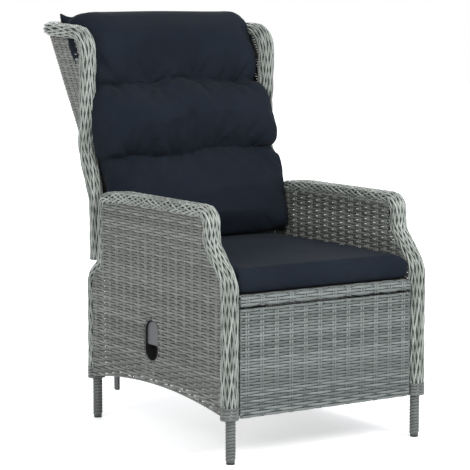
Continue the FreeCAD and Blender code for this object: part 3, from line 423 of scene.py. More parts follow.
def side_line():
    """The path of the side tube: front leg, arm and rear leg, as (y, z) corners and bend radii."""
    points = [(FRONT_LEG, ROLL_BOTTOM), (FRONT_LEG, ARM_JOG[0]), (FRONT_POST, ARM_JOG[1]),
              (FRONT_POST, ARM_LEVEL), (ARM_KNEE, ARM_LEVEL), (REAR_POST, ARM_LEVEL - ARM_DROOP),
              (REAR_POST, REAR_JOG[1]), (REAR_LEG, REAR_JOG[0]), (REAR_LEG, ROLL_BOTTOM)]
    bends = [0, 60 * MM, 45 * MM, 30 * MM, 200 * MM, 28 * MM, 30 * MM, 30 * MM, 0]
    return points, bends


def panel_limits(overlap):
    """Front and rear edge of the side weave, each as levels and places along Y."""
    inset = ROLL_HALF_DEPTH - overlap
    levels = [0, ARM_JOG[0], ARM_JOG[1], 1]
    front = [FRONT_LEG + inset, FRONT_LEG + inset, FRONT_POST + inset, FRONT_POST + inset]
    rear_levels = [0, REAR_JOG[0], REAR_JOG[1], 1]
    rear = [REAR_LEG - inset, REAR_LEG - inset, REAR_POST - inset, REAR_POST - inset]
    return levels, front, rear_levels, rear


def arch_height(y):
    """Level of the arched lower edge of a side."""
    middle, half = (FRONT_LEG + REAR_LEG) / 2 - ARCH_SHIFT, (REAR_LEG - FRONT_LEG) / 2
    return ARCH_LOW + ARCH_RISE * (1 - ((y - middle) / half) ** 2)


def arm_height(y):
    return ARM_LEVEL - ARM_DROOP * np.clip((y - ARM_KNEE) / (REAR_POST - ARM_KNEE), 0, 1)


def make_side_weave(name, side):
    levels, front, rear_levels, rear = panel_limits(8 * MM)
    low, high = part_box("lever_housing")
    hole_y, hole_z = (low.y + high.y) / 2, (low.z + high.z) / 2
    hole_half, hole_round = (high.z - low.z) / 2, (high.y - low.y) / 2

    def inside(y, z):
        keep = (y >= np.interp(z, levels, front)) & (y <= np.interp(z, rear_levels, rear))
        keep &= (z >= arch_height(y)) & (z <= arm_height(y) - 10 * MM)
        if side == LEFT:
            dz = np.maximum(np.abs(z - hole_z) - (hole_half - hole_round), 0)
            keep &= np.hypot(y - hole_y, dz) > hole_round - 2 * MM
        return keep

    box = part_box("outer_panel_" + name)
    face = box[0].x if side == LEFT else box[1].x
    span = (FRONT_LEG + 14 * MM, REAR_LEG - 14 * MM)
    build = Strands()
    weave_flat(build, (face, 0, 0), (0, 1, 0), (0, 0, 1), (side, 0, 0), inside, span,
               (arch_height(FRONT_LEG), ARM_LEVEL - 8 * MM), SIDE_PITCH)
    edge_y = np.linspace(span[0], span[1], 60)
    edge = np.stack([np.full_like(edge_y, face), edge_y, arch_height(edge_y)], 1)
    rope(build, edge, (side, 0, 0), 3.1 * MM, 2, 26 * MM)
    piece = build.build("weave_outer_" + name, SIDE_WEAVE)
    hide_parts("outer_panel_" + name)
    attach(piece, "base")

    def inside_inner(y, z):
        keep = (y >= np.interp(z, levels, front)) & (y <= np.interp(z, rear_levels, rear))
        return keep & (z >= arch_height(y)) & (z <= arm_height(y) - 10 * MM)

    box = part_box("inner_panel_" + name)
    face = box[1].x if side == LEFT else box[0].x
    build = Strands()
    weave_flat(build, (face + side * 1.2 * MM, 0, 0), (0, 1, 0), (0, 0, 1), (-side, 0, 0), inside_inner, span,
               (arch_height(FRONT_LEG), ARM_LEVEL - 8 * MM), SIDE_PITCH)
    piece = build.build("weave_inner_" + name, SIDE_WEAVE)
    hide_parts("inner_panel_" + name)
    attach(piece, "base")


def rope(build, line, side, radius, strands, lay):
    """A few strands twisted together along a line."""
    line = resample(line, 4 * MM)
    along, across, normal = carried_frame(line, side)
    walked = np.r_[0, np.cumsum(np.linalg.norm(np.diff(line, axis=0), axis=1))]
    for k in range(strands):
        turn = 2 * np.pi * (walked / lay + k / strands)
        out = across * np.cos(turn)[:, None] + normal * np.sin(turn)[:, None]
        centre = line + out * radius * 0.55
        wide = np.cross(along, out)
        ring = [(radius * 0.75 * math.cos(a), radius * 0.62 * math.sin(a)) for a in
                np.linspace(0, 2 * np.pi, 7)[:-1]]
        build.ribbon(centre, wide, out, ring)


# ------------------------------------------------------------------ braid
def ring_shape(half_width, half_depth, power=2.6):
    """Rounded-rectangle outline: its points, outward normals, share of the way round and girth."""
    angle = np.linspace(0, 2 * np.pi, 361)
    x = half_width * np.sign(np.cos(angle)) * np.abs(np.cos(angle)) ** (2 / power)
    y = half_depth * np.sign(np.sin(angle)) * np.abs(np.sin(angle)) ** (2 / power)
    outline = np.stack([x, y], 1)
    lengths = np.r_[0, np.cumsum(np.linalg.norm(np.diff(outline, axis=0), axis=1))]
    tangent = unit(np.gradient(outline, axis=0))
    normal = np.stack([tangent[:, 1], -tangent[:, 0]], 1)
    return outline, normal, lengths / lengths[-1], lengths[-1]


def braid(name, line, first_side, half_width, half_depth, level_lay=STEEP, width_at=None, seed=3):
    """A tubular braid of two crossing sets of half-round strands round a core coloured with painted shade,
    the dark tone of the shadow in the gaps between the strands.
    Strands lie steeper where the roll runs level; width_at narrows the roll along its length."""
    line = resample(line, 5 * MM)
    along, side, normal = carried_frame(line, first_side)
    step = np.r_[0, np.linalg.norm(np.diff(line, axis=0), axis=1)]
    walked = np.cumsum(step)
    upright = np.abs(along[:, 2]) ** 2
    kernel = np.ones(25) / 25
    upright = np.convolve(np.pad(upright, 12, mode="edge"), kernel, mode="valid")
    lay = level_lay + (SHALLOW - level_lay) * upright
    narrow = np.ones(len(line)) if width_at is None else width_at(line)
    outline, outward, share, girth = ring_shape(half_width - BRAID_INSET, half_depth - BRAID_INSET)
    turned = np.cumsum(step * np.tan(lay)) / girth
    random = np.random.default_rng(seed)
    build = Strands()
    for hand in (1, -1):
        for strand in range(BRAID_COUNT):
            wander = sum(WANDER * math.sin(WANDER_SPREAD * random.random())
                         * np.sin(2 * np.pi * (walked / (WANDER_WAVE[0] + WANDER_WAVE[1] * random.random())
                                               + random.random()))
                         for _ in range(2))
            around = (strand / BRAID_COUNT + hand * turned + wander) % 1.0
            phase = 2 * strand + hand * 2 * BRAID_COUNT * turned
            swing = hand * BRAID_SWING * np.cos(np.pi / 2 * phase - np.pi / 4)
            point = np.stack([np.interp(around, share, outline[:, k]) for k in range(2)], 1)
            out2 = unit(np.stack([np.interp(around, share, outward[:, k]) for k in range(2)], 1))
            out = side * out2[:, 0:1] + normal * out2[:, 1:2]
            centre = (line + side * (point[:, 0] * narrow)[:, None] + normal * point[:, 1:2]
                      + out * (swing - BRAID_SET)[:, None])
            run = tangents(centre)
            wide = unit(np.cross(run, out))
            lift = unit(np.cross(wide, run))
            build.ribbon(centre, wide, lift, half_round(STRAND_HALF, STRAND_HEIGHT))
    piece = build.build(name, BRAID)
    # the core is real filler, and its dark colour is painted shade for the gaps between the strands
    core = Strands()
    shape = ring_shape(half_width - CORE_INSET, half_depth - CORE_INSET)[0][:-1:15]
    sections = np.repeat(shape[None], len(line), 0)
    sections[:, :, 0] *= narrow[:, None]
    core.ribbon(line, side, normal, sections)
    inner = core.build(name + "_core", GAP_SHADE_CORE)
    return piece, inner


def make_arm_braid(name, side):
    points, bends = side_line()
    line = rounded_path([(side * ROLL_X, y, z) for y, z in points], bends, 5 * MM)
    piece, core = braid("braid_arm_" + name, line, (1, 0, 0), ROLL_HALF_WIDTH, ROLL_HALF_DEPTH)
    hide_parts("front_roll_" + name, "arm_roll_" + name, "rear_roll_" + name)
    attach(piece, "base")
    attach(core, "base")


def wing_line():
    low, top = WING_LOW.z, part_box("top_roll")
    front = WING_LOW.y + ROLL_HALF_DEPTH
    level = WING_HIGH.z - ROLL_HALF_DEPTH
    return [(front, low), (front, low + 175 * MM), (front + 51 * MM, low + 300 * MM),
            (front + 37 * MM, level - 10 * MM), ((top[0].y + top[1].y) / 2, level)]


def make_wing_braid():
    """One braid up the left wing, along the top of the back and down the right wing."""
    points = wing_line()
    left = [(-ROLL_X, y, z) for y, z in points]
    right = [(ROLL_X, y, z) for y, z in points[::-1]]
    bends = [0, 90 * MM, 90 * MM, 60 * MM, 26 * MM]
    line = rounded_path(left + right, bends + bends[::-1], 5 * MM)
    low, high = WING_LOW.z + 120 * MM, WING_LOW.z + 230 * MM

    def width_at(spots):
        return 0.74 + 0.26 * np.clip((spots[:, 2] - low) / (high - low), 0, 1)

    piece, core = braid("braid_back", line, (1, 0, 0), ROLL_HALF_WIDTH, ROLL_HALF_DEPTH, SHALLOW, width_at, 5)
    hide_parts("wing_roll_left", "wing_roll_right", "top_roll")
    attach(piece, "back")
    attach(core, "back")


# ------------------------------------------------------------------ legs
def make_leg_strips():
    build = Strands()
    low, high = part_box("leg_wraps")
    for x in (low.x + LEG_INSET, high.x - LEG_INSET):
        for y in (FRONT_LEG, REAR_LEG):
            turns = (high.z - low.z + 14 * MM) / WRAP_PITCH
            angle = np.linspace(0, 2 * np.pi * turns, int(turns * 20))
            out = np.stack([np.cos(angle), np.sin(angle), np.zeros_like(angle)], 1)
            line = out * WRAP_RADIUS + np.array([x, y, 0])
            line[:, 2] = low.z + 2.6 * MM + angle / (2 * np.pi) * WRAP_PITCH
            wide = np.repeat(np.array([[0, 0, 1.0]]), len(angle), 0)
            build.ribbon(line, wide, out, half_round(WRAP_PITCH * WRAP_COVER, 1.7 * MM), tone=0.5)
    piece = build.build("leg_strips", LEG_STRIP)
    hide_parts("leg_wraps")
    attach(piece, "base")


def make_roll_bands():
    """Flat strips that bind the lower ends of the edge rolls."""
    build = Strands()
    outline, outward = ring_shape(ROLL_HALF_WIDTH + 0.2 * MM, ROLL_HALF_DEPTH + 0.2 * MM)[:2]
    for _, side in SIDES:
        for y in (FRONT_LEG, REAR_LEG):
            for turn in range(4):
                z = ROLL_BOTTOM + (turn + 0.5) * WRAP_PITCH
                pick = slice(0, 360, 10)
                line = np.stack([side * ROLL_X + outline[pick, 0], y + outline[pick, 1],
                                 np.full(36, z)], 1)
                out = np.stack([outward[pick, 0], outward[pick, 1], np.zeros(36)], 1)
                wide = np.repeat(np.array([[0, 0, 1.0]]), 36, 0)
                build.ribbon(line, wide, out, half_round(WRAP_PITCH * WRAP_COVER, 1.6 * MM), closed=True)
    piece = build.build("roll_bands", LEG_STRIP)
    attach(piece, "base")


# ------------------------------------------------------------------ front
def everywhere(s, t):
    return np.ones_like(s, bool)


def make_footrest_weave():
    low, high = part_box("footrest_panel")
    build = Strands()
    corner = 9 * MM

    def inside(x, z):
        return (np.abs(x) < high.x - 1 * MM) | (z > low.z + corner)

    span = (low.x + 0.5 * MM, high.x - 0.5 * MM)
    levels = (low.z, high.z)
    weave_flat(build, (0, low.y + 1.0 * MM, 0), (1, 0, 0), (0, 0, 1), (0, -1, 0), inside, span, levels,
               FRONT_PITCH, FRONT_ROW)
    weave_flat(build, (0, high.y - 0.2 * MM, 0), (1, 0, 0), (0, 0, 1), (0, 1, 0), inside, span, levels,
               FRONT_PITCH, FRONT_ROW)
    piece = build.build("weave_footrest", FRONT_WEAVE)
    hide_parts("footrest_panel")
    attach(piece, "footrest")
    edge = Strands()
    corners = [(low.x + 3 * MM, low.z + 3 * MM), (high.x - 3 * MM, low.z + 3 * MM),
               (high.x - 3 * MM, high.z - 3 * MM), (low.x + 3 * MM, high.z - 3 * MM)]
    middle = (low.y + high.y) / 2
    for (x1, z1), (x2, z2) in zip(corners, corners[1:] + corners[:1]):
        line = np.linspace((x1, middle, z1), (x2, middle, z2), 90)
        rope(edge, line, (0, 1, 0), 3.0 * MM, 2, 24 * MM)
    trim = edge.build("footrest_edge", FRONT_WEAVE)
    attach(trim, "footrest")


def make_rail_weave():
    low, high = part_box("front_rail_weave")
    build = Strands()
    span, depth = (low.x, high.x), (low.y, high.y)
    weave_flat(build, (0, low.y + 2.4 * MM, 0), (1, 0, 0), (0, 0, 1), (0, -1, 0), everywhere, span,
               (low.z + 0.5 * MM, high.z - 0.5 * MM), FRONT_PITCH)
    weave_flat(build, (0, 0, low.z + 2.2 * MM), (1, 0, 0), (0, 1, 0), (0, 0, -1), everywhere, span,
               depth, FRONT_PITCH)
    weave_flat(build, (0, 0, high.z - 2.2 * MM), (1, 0, 0), (0, 1, 0), (0, 0, 1), everywhere, span,
               depth, FRONT_PITCH)
    piece = build.build("weave_rail", FRONT_WEAVE)
    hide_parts("front_rail_weave")
    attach(piece, "base")


# ------------------------------------------------------------------ back
def lean(angle):
    return np.array([0, math.sin(angle), math.cos(angle)]), np.array([0, -math.cos(angle), math.sin(angle)])


def back_curve(offset=0.0):
    """The back's rear line as fine points from bottom to top, moved forwards by offset."""
    up_low, out_low = lean(LEAN_LOW)
    up_high, out_high = lean(LEAN_HIGH)
    foot = np.array([0, BACK_FOOT.y, BACK_FOOT.z])
    bend = foot + up_low * LOW_RUN
    centre = bend - out_low * BACK_BEND
    points = [foot + out_low * offset]
    for share in np.linspace(0, 1, 12):
        angle = LEAN_LOW + (LEAN_HIGH - LEAN_LOW) * share
        points.append(centre + lean(angle)[1] * (BACK_BEND + offset))
    points.append(centre + out_high * (BACK_BEND + offset) + up_high * HIGH_RUN)
    return np.array(points)


def make_back_weave():
    """Rows that run from the left wing round the back to the right wing, one row at each level."""
    curve = back_curve()
    limits = wing_line()
    wing_levels = [p[1] for p in limits[:-1]]
    wing_fronts = [p[0] + ROLL_HALF_DEPTH - 8 * MM for p in limits[:-1]]
    row_step = 7.0 * MM
    low, high = curve[0][2] + 10 * MM, limits[-1][1] - 8 * MM
    half = WING_FACE - 3 * MM
    corner = 9 * MM
    build = Strands()
    stakes = 13
    pitch = 2 * half / stakes
    rear_angles = np.arctan2(np.gradient(curve[:, 1]), np.gradient(curve[:, 2]))
    rows = int((high - low) / row_step)
    for row in range(rows):
        z = low + (row + 0.5) * (high - low) / rows
        y = np.interp(z, curve[:, 2], curve[:, 1])
        angle = np.interp(z, curve[:, 2], rear_angles)
        front = min(np.interp(z, wing_levels, wing_fronts), y - 12 * MM)
        if z > limits[-2][1] - 40 * MM:
            drop = z - (limits[-2][1] - 40 * MM)
            front = front + 60 * MM - math.sqrt(max((60 * MM) ** 2 - drop ** 2, 0))
        points = [(-half, front, z), (-half, y, z), (half, y, z), (half, front, z)]
        line = rounded_path(points, [0, corner, corner, 0], 5.2 * MM)
        along = tangents(line)
        walked = np.cumsum(np.r_[0, np.linalg.norm(np.diff(line, axis=0), axis=1)])
        from_middle = walked - walked[-1] / 2
        facing = np.abs(along[:, 0:1])
        up_rear, _ = lean(angle)
        wide = unit(np.array([[0, 0, 1.0]]) * (1 - facing) + up_rear[None] * facing)
        out = unit(np.cross(wide, along))
        beyond = np.maximum(np.abs(from_middle) - half, 0)
        turns = np.minimum(np.abs(from_middle), half) / pitch + beyond / WING_PITCH
        swing = ROW_SWING * np.cos(np.pi * turns + np.pi * row)
        width = ROW_HALF * (0.96 + facing[:, 0] * (1 / math.cos(angle) - 1) * 0.8)
        shape = np.array(full_round(1.0, ROW_HEIGHT * 0.7))
        section = np.repeat(shape[None], len(line), 0)
        section[:, :, 0] *= width[:, None]
        build.ribbon(line + out * swing[:, None], wide, out, section)
    ups = curve[(curve[:, 2] >= low) | (np.arange(len(curve)) == 0)]
    for stake in range(stakes):
        x = -half + (stake + 0.5) * pitch
        line = resample(np.array([[x, p[1], p[2]] for p in ups]), 30 * MM)
        run = tangents(line)
        wide = np.repeat(np.array([[1.0, 0, 0]]), len(line), 0)
        out = unit(np.cross(wide, run)) * -1
        out *= np.sign(out[:, 1:2])
        stake_pair(build, line, wide, out)
    for _, side in SIDES:
        for stake in range(8):
            back_off = (stake + 0.64) * WING_PITCH
            zs = np.linspace(low, high, 80)
            ys = np.interp(zs, curve[:, 2], curve[:, 1]) - back_off
            fronts = np.interp(zs, wing_levels, wing_fronts)
            keep = ys > fronts
            if keep.sum() < 4:
                continue
            line = np.stack([np.full(keep.sum(), side * half), ys[keep], zs[keep]], 1)
            run = tangents(line)
            out = np.repeat(np.array([[float(side), 0, 0]]), len(line), 0)
            wide = unit(np.cross(run, out))
            stake_pair(build, line, wide, out)
    piece = build.build("weave_back", SIDE_WEAVE)
    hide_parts("back_rear_panel", "wing_left", "wing_right")
    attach(piece, "back")


# ------------------------------------------------------------------ cushions
def closed_grid(name, front, rear):
    """A closed pad from two grids of points that share their rim."""
    n, m = front.shape[:2]
    points = np.concatenate([front.reshape(-1, 3), rear.reshape(-1, 3)])
    faces = []
    for i in range(n - 1):
        for j in range(m - 1):
            a = i * m + j
            faces.append((a, a + 1, a + m + 1, a + m))
            b = n * m + a
            faces.append((b, b + m, b + m + 1, b + 1))
    rim = [(0, j) for j in range(m)] + [(i, m - 1) for i in range(1, n)]
    rim += [(n - 1, j) for j in range(m - 2, -1, -1)] + [(i, 0) for i in range(n - 2, 0, -1)]
    for (i1, j1), (i2, j2) in zip(rim, rim[1:] + rim[:1]):
        a, b = i1 * m + j1, i2 * m + j2
        faces.append((b, a, n * m + a, n * m + b))
    mesh = bpy.data.meshes.new(name)
    mesh.from_pydata(points.tolist(), [], faces)
    fix_normals(mesh)
    return finish_mesh(name, mesh, FABRIC)


def apply_all(piece):
    """Bakes the modifiers of a piece into its mesh."""
    graph = bpy.context.evaluated_depsgraph_get()
    mesh = bpy.data.meshes.new_from_object(piece.evaluated_get(graph))
    piece.modifiers.clear()
    old = piece.data
    piece.data = mesh
    bpy.data.meshes.remove(old)


def read_points(mesh):
    values = np.zeros(len(mesh.vertices) * 3)
    mesh.vertices.foreach_get("co", values)
    return values.reshape(-1, 3)


def write_points(mesh, points):
    mesh.vertices.foreach_set("co", points.ravel())
    mesh.update()


def puff(piece, voxel, pressure, reach, pinned, slack):
    """Remeshes a pad and lets air pressure stretch its cloth, held at its seams and tufts."""
    remesh = piece.modifiers.new("remesh", "REMESH")
    remesh.mode = "VOXEL"
    remesh.voxel_size = voxel
    apply_all(piece)
    start = read_points(piece.data)
    group = piece.vertex_groups.new(name="held")
    weights = pinned(start)
    for index in np.flatnonzero(weights > 0.01):
        group.add([int(index)], float(weights[index]), "REPLACE")
    cloth = piece.modifiers.new("cloth", "CLOTH")
    settings = cloth.settings
    settings.quality = 5
    settings.mass = 0.3
    settings.tension_stiffness = 18
    settings.compression_stiffness = 12
    settings.shear_stiffness = 6
    settings.bending_stiffness = 0.25
    settings.use_pressure = True
    settings.uniform_pressure_force = pressure
    settings.effector_weights.gravity = 0
    settings.shrink_min = -slack
    settings.vertex_group_mass = "held"
    cloth.collision_settings.use_collision = False
    cloth.collision_settings.use_self_collision = False
    scene = bpy.context.scene
    for number in range(1, CLOTH_FRAMES + 1):
        scene.frame_set(number)
    apply_all(piece)
    scene.frame_set(1)
    moved = read_points(piece.data) - start
    length = np.linalg.norm(moved, axis=1, keepdims=True)
    limited = moved * np.minimum(1, reach / np.maximum(length, 1e-9))
    write_points(piece.data, start + limited)
    smooth = piece.modifiers.new("smooth", "SMOOTH")
    smooth.factor = 0.5
    smooth.iterations = 2
    surface = piece.modifiers.new("surface", "SUBSURF")
    surface.levels = surface.render_levels = 1
    apply_all(piece)
    piece.data.polygons.foreach_set("use_smooth", [True] * len(piece.data.polygons))


# Back cushion in mm: (distance up the back, distance in front of its rear line), from seat to top edge.
PAD_FRONT = ((20, 128), (45, 144), (182, 150), (271, 150), (360, 155), (422, 152), (515, 162), (610, 162),
             (650, 140), (668, 96))
PAD_REAR = ((50, 40), (120, 38), (600, 38), (655, 40), (672, 52))
SEAMS = (0.345, 0.615)          # tufted seams, as a share of the height
TUFTS = (-0.74, -0.27, 0.25, 0.70)      # places of the tufts across, from -1 to 1
EAR = (12 * MM, 34 * MM)        # how far the top corners stand out and up
PAD_HALF = 0.2645               # half width of the pad between the arms
PAD_BULGE = 0.0165              # how much further each side stands out above the arms
SEAM_PULL = 0.006               # how far each side is drawn in at a seam
TOP_DROOP = 9 * MM              # sag of the top edge between the corners
COVER_JOIN = 0.30               # where the front and rear covers meet, from rear to front
TUFT_DENT, TUFT_FOLD, SEAM_PUCKER = 0.16, 0.055, 0.035      # depth of each, as a share of the crown


def back_spots(distance, offset):
    """Points (y, z) at distances up the back's rear line, moved forwards by offsets."""
    line, front = back_curve(), back_curve(1.0)
    walked = np.r_[0, np.cumsum(np.linalg.norm(np.diff(line, axis=0), axis=1))]
    out = unit(front - line)
    columns = (line[:, 1], line[:, 2], out[:, 1], out[:, 2])
    pick = [np.interp(distance, walked, column) for column in columns]
    beyond = np.maximum(distance - walked[-1], 0)
    up = lean(LEAN_HIGH)[0]
    return (pick[0] + pick[2] * offset + up[1] * beyond, pick[1] + pick[3] * offset + up[2] * beyond)


def profile(table, share):
    """Distance and offset at each share of the way along a rounded-off outline."""
    places = np.array(table) * MM
    shares = np.linspace(0, 1, 200)
    walked = np.r_[0, np.cumsum(np.linalg.norm(np.diff(places, axis=0), axis=1))]
    walked /= walked[-1]
    smooth = [np.interp(shares, walked, places[:, k]) for k in range(2)]
    kernel = np.ones(11) / 11
    smooth = [np.convolve(np.pad(c, 5, mode="edge"), kernel, mode="valid") for c in smooth]
    return [np.interp(share, shares, c) for c in smooth]


def spread(count):
    """Samples from -1 to 1, closer together near the ends."""
    t = np.linspace(-1, 1, count)
    return np.sin(t * np.pi / 2) * 0.5 + np.sign(t) * (1 - (1 - np.abs(t)) ** 2) * 0.5


def make_back_cushion():
    rows, columns = 150, 110
    v, u = np.meshgrid(np.linspace(0, 1, rows), spread(columns), indexing="ij")
    seams = [s + 0.010 * np.sin(2.6 * u + 1.3 * k) + 0.006 * np.sin(7 * u + k) for k, s in enumerate(SEAMS)]
    edges = [np.zeros_like(u), *seams, np.ones_like(u)]
    crown = np.zeros_like(v)
    for low, high in zip(edges, edges[1:]):
        part = (v >= low) & (v <= high)
        where = np.clip((v - low) / (high - low), 0, 1) * 2 - 1
        crown[part] = ((1 - np.abs(where) ** 4.5) ** 0.5)[part]
    nearest = np.min([np.abs(v - seam) for seam in seams], axis=0)
    front_d, front_o = profile(PAD_FRONT, v)
    rear_d, rear_o = profile(PAD_REAR, v)
    front_y, front_z = back_spots(front_d, front_o)
    rear_y, rear_z = back_spots(rear_d, rear_o)
    rim = np.maximum(1 - np.abs(u) ** 26, 0) ** 0.5
    end_soft = np.clip(np.minimum(v / 0.05, (1 - v) / 0.05), 0, 1)
    end_soft = np.sqrt(1 - (1 - end_soft) ** 2)
    corner = np.clip((np.abs(u) - 0.80) / 0.20, 0, 1) ** 1.5 * np.clip((v - 0.86) / 0.14, 0, 1) ** 1.4
    gathers = np.zeros_like(u)
    for k, seam in enumerate(seams):
        for j, tuft in enumerate(TUFTS):
            across, above = (u - tuft) * 0.27, (v - seam) * 0.66
            away, angle = np.hypot(across, above), np.arctan2(above, across)
            gathers -= TUFT_DENT * np.exp(-(away / 0.022) ** 2)
            folds = TUFT_FOLD * np.sin(7 * angle + 1.7 * j + 2.3 * k) * np.exp(-(away / 0.060) ** 2)
            gathers += folds * np.clip(away / 0.015, 0, 1)
        pucker = np.sin(u * 31 + 2 * np.sin(u * 9 + k)) * SEAM_PUCKER
        gathers += pucker * np.exp(-((v - seam) / 0.055) ** 2)
    crown = crown + gathers * end_soft
    thick = (0.20 + 0.80 * crown * end_soft) * (0.12 + 0.88 * rim) * (1 - 0.75 * corner)
    middle_y = rear_y + (front_y - rear_y) * COVER_JOIN
    middle_z = rear_z + (front_z - rear_z) * COVER_JOIN
    level = np.clip((front_z - 0.652) / 0.05, 0, 1) - 0.35 * np.clip((front_z - 0.88) / 0.08, 0, 1)
    half = PAD_HALF + PAD_BULGE * level - SEAM_PULL * np.exp(-(nearest / 0.02) ** 2) * (level > 0)
    x = u * half + np.sign(u) * corner * EAR[0]
    droop = TOP_DROOP * np.clip((v - 0.93) / 0.07, 0, 1) * (1 - np.abs(u) ** 4)
    lift = corner * EAR[1] - droop
    front_points = np.stack([x, middle_y + (front_y - middle_y) * thick,
                             middle_z + (front_z - middle_z) * thick + lift], -1)
    rear_thick = (0.25 + 0.75 * end_soft) * (0.12 + 0.88 * rim) * (1 - 0.75 * corner)
    rear_points = np.stack([x, middle_y + (rear_y - middle_y) * rear_thick,
                            middle_z + (rear_z - middle_z) * rear_thick + lift], -1)
    edge = (np.abs(u) > 0.9999) | (v < 1e-6) | (v > 1 - 1e-6)
    rear_points[edge] = front_points[edge] + np.array([0, 4 * MM, 0])
    pad = closed_grid("back_pillow", front_points, rear_points)

    held = []
    for seam in seams:
        for j in range(2, columns - 2, 2):
            k = int(round(seam[0, j] * (rows - 1)))
            strong = min(abs(u[0, j] - t) for t in TUFTS) < 0.05
            held.append((front_points[k, j], 1.0 if strong else 0.5))
    corners = [front_points[-1, 0], front_points[-1, -1]]

    def pinned(points):
        weight = np.zeros(len(points))
        for centre, strength in held:
            distance = np.linalg.norm(points - centre, axis=1)
            weight = np.maximum(weight, strength * np.clip(1.7 - distance / (9 * MM), 0, 1))
        for centre in corners:
            distance = np.linalg.norm(points - centre, axis=1)
            weight = np.maximum(weight, np.clip(1.6 - distance / (26 * MM), 0, 1))
        return weight

    puff(pad, 5.5 * MM, 4.0, 22 * MM, pinned, 0.045)
    rest_on(pad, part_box("seat_cushion")[1].z + 1 * MM)
    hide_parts("back_cushion")
    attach(pad, "back")


def rest_on(pad, level):
    """Presses the underside of a pad flat where it stands."""
    points = read_points(pad.data)
    points[:, 2] = np.maximum(points[:, 2], level)
    write_points(pad.data, points)


def make_seat_cushion():
    low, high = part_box("seat_cushion")
    rows, columns = 96, 90
    v, u = np.meshgrid(spread(rows), spread(columns), indexing="ij")
    half_x, half_y = (high.x - low.x) / 2 - 1.5 * MM, (high.y - low.y) / 2 - 2 * MM
    centre_y, centre_z = (low.y + high.y) / 2, (low.z + high.z) / 2
    x, y = u * half_x * (1 - 0.010 * (1 - v ** 2)), centre_y + v * half_y * (1 - 0.008 * (1 - u ** 2))
    thick = (high.z - low.z) / 2
    rim = np.maximum((1 - np.abs(u) ** 44) * (1 - np.abs(v) ** 48), 0) ** 0.38
    crown = 1 - 0.5 * (u ** 2 + v ** 2)
    top = thick * (0.10 + 0.80 * rim) + 2.5 * MM * crown * rim
    bottom = thick * (0.10 + 0.88 * rim)
    pad = closed_grid("seat_pad", np.stack([x, y, centre_z + top], -1),
                      np.stack([x, y, centre_z - bottom], -1))

    def pinned(points):
        return np.where(points[:, 2] < low.z + 8 * MM, 0.9, 0.0)

    puff(pad, 5.5 * MM, 1.6, 5 * MM, pinned, 0.006)
    points = read_points(pad.data)
    points[:, 2] = np.maximum(points[:, 2], low.z)
    points[:, 0] = np.clip(points[:, 0], low.x, high.x)
    write_points(pad.data, points)
    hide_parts("seat_cushion")
    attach(pad, "base")


# ------------------------------------------------------------------ carried-over nodes
def paint_nodes():
    by_slot = {"frame_steel": STEEL, "zinc_steel": ZINC, "housing_plastic": BLACK, "paddle_plastic": PADDLE,
               "foot_plastic": BLACK, "bush_plastic": NYLON, "cable_sheath": RUBBER, "cylinder_paint": BLACK,
               "side_weave": SIDE_WEAVE, "front_weave": FRONT_WEAVE, "edge_braid": BRAID,
               "leg_wrap": LEG_STRIP, "cushion_fabric": FABRIC}
    for entry in frame["record"]["subparts"]:
        node = frame["nodes"][entry["node"]]
        material = by_slot[entry["material_slot"]]
        if not node.material_slots:
            node.data.materials.append(material)
        for place in node.material_slots:
            place.material = material


# ------------------------------------------------------------------ stage, light and camera
def background_rays(nodes, links):
    """1 on the rays that show the background: from the camera, in a reflection or through a clear piece."""
    path = nodes.new("ShaderNodeLightPath")
    total = path.outputs["Is Camera Ray"]
    for kind in ("Is Glossy Ray", "Is Transmission Ray"):
        either = nodes.new("ShaderNodeMath")
        either.operation = "MAXIMUM"
        links.new(total, either.inputs[0])
        links.new(path.outputs[kind], either.inputs[1])
        total = either.outputs[0]
    return total


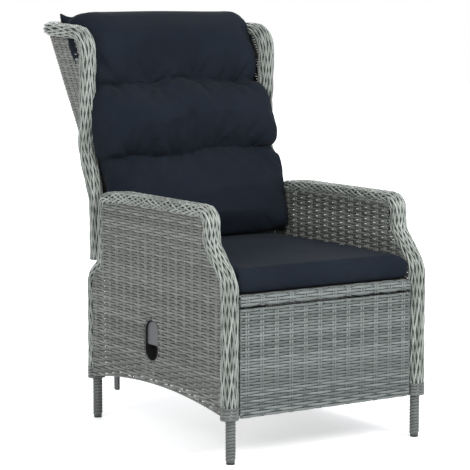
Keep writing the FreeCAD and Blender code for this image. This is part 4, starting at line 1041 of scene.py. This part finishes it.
def make_stage():
    mesh = bpy.data.meshes.new("floor")
    far = FLOOR_HALF
    corners = [(-far, -far, 0), (far, -far, 0), (far, far, 0), (-far, far, 0)]
    mesh.from_pydata(corners, [], [(0, 1, 2, 3)])
    floor = bpy.data.objects.new("floor", mesh)
    bpy.context.scene.collection.objects.link(floor)
    material, nodes, links, shader = new_material("floor")
    shader.inputs["Base Color"].default_value = (0.86, 0.86, 0.86, 1)
    shader.inputs["Roughness"].default_value = 0.9
    # the floor is lifted to white, most of all far from the object, and its shadow stays
    place = nodes.new("ShaderNodeTexCoord")
    reach = nodes.new("ShaderNodeVectorMath")
    reach.operation = "LENGTH"
    links.new(place.outputs["Object"], reach.inputs[0])
    growth = nodes.new("ShaderNodeMapRange")
    growth.inputs["From Min"].default_value, growth.inputs["To Min"].default_value = GLOW_NEAR
    growth.inputs["From Max"].default_value, growth.inputs["To Max"].default_value = GLOW_FAR
    links.new(reach.outputs["Value"], growth.inputs["Value"])
    seen = nodes.new("ShaderNodeMath")
    seen.operation = "MULTIPLY"
    links.new(background_rays(nodes, links), seen.inputs[0])
    links.new(growth.outputs["Result"], seen.inputs[1])
    glow = nodes.new("ShaderNodeEmission")
    links.new(seen.outputs[0], glow.inputs["Strength"])
    total = nodes.new("ShaderNodeAddShader")
    links.new(shader.outputs["BSDF"], total.inputs[0])
    links.new(glow.outputs["Emission"], total.inputs[1])
    links.new(total.outputs["Shader"], nodes["Material Output"].inputs["Surface"])
    mesh.materials.append(material)

    world = bpy.data.worlds.new("studio")
    bpy.context.scene.world = world
    world.use_nodes = True
    nodes, links = world.node_tree.nodes, world.node_tree.links
    back = nodes["Background"]
    back.inputs["Color"].default_value = (0.93, 0.95, 1.0, 1)
    back.inputs["Strength"].default_value = 0.5
    white = nodes.new("ShaderNodeBackground")
    white.inputs["Color"].default_value = (1, 1, 1, 1)
    white.inputs["Strength"].default_value = 1.0
    mix = nodes.new("ShaderNodeMixShader")
    links.new(background_rays(nodes, links), mix.inputs["Fac"])
    links.new(back.outputs["Background"], mix.inputs[1])
    links.new(white.outputs["Background"], mix.inputs[2])
    links.new(mix.outputs["Shader"], nodes["World Output"].inputs["Surface"])


def lamp(name, place, aim, size, power):
    data = bpy.data.lights.new(name, "AREA")
    data.shape = "SQUARE"
    data.size = size
    data.energy = power
    light = bpy.data.objects.new(name, data)
    light.location = place
    light.rotation_euler = (Vector(aim) - Vector(place)).to_track_quat("-Z", "Y").to_euler()
    bpy.context.scene.collection.objects.link(light)


def make_lights():
    aim = (0, 0, 0.55)
    lamp("key", (0.4, -3.4, 3.0), aim, 1.8, 135)
    lamp("fill", (-3.2, -1.6, 2.2), aim, 2.2, 60)
    lamp("back", (1.0, 3.0, 2.6), aim, 2.0, 45)


def make_camera():
    data = bpy.data.cameras.new("camera")
    data.sensor_width = 36
    data.lens = 156.04
    camera = bpy.data.objects.new("camera", data)
    camera.location = (-3.005, -4.625, 1.189)
    camera.rotation_euler = Vector((0.54439, 0.82983, -0.12256)).to_track_quat("-Z", "Y").to_euler()
    bpy.context.scene.collection.objects.link(camera)
    bpy.context.scene.camera = camera


bpy.context.scene.view_settings.view_transform = "Standard"
make_camera()
make_stage()
make_lights()
paint_nodes()
for side_name, side_sign in SIDES:
    make_side_weave(side_name, side_sign)
    make_arm_braid(side_name, side_sign)
make_wing_braid()
make_leg_strips()
make_roll_bands()
make_footrest_weave()
make_rail_weave()
make_back_weave()
make_back_cushion()
make_seat_cushion()
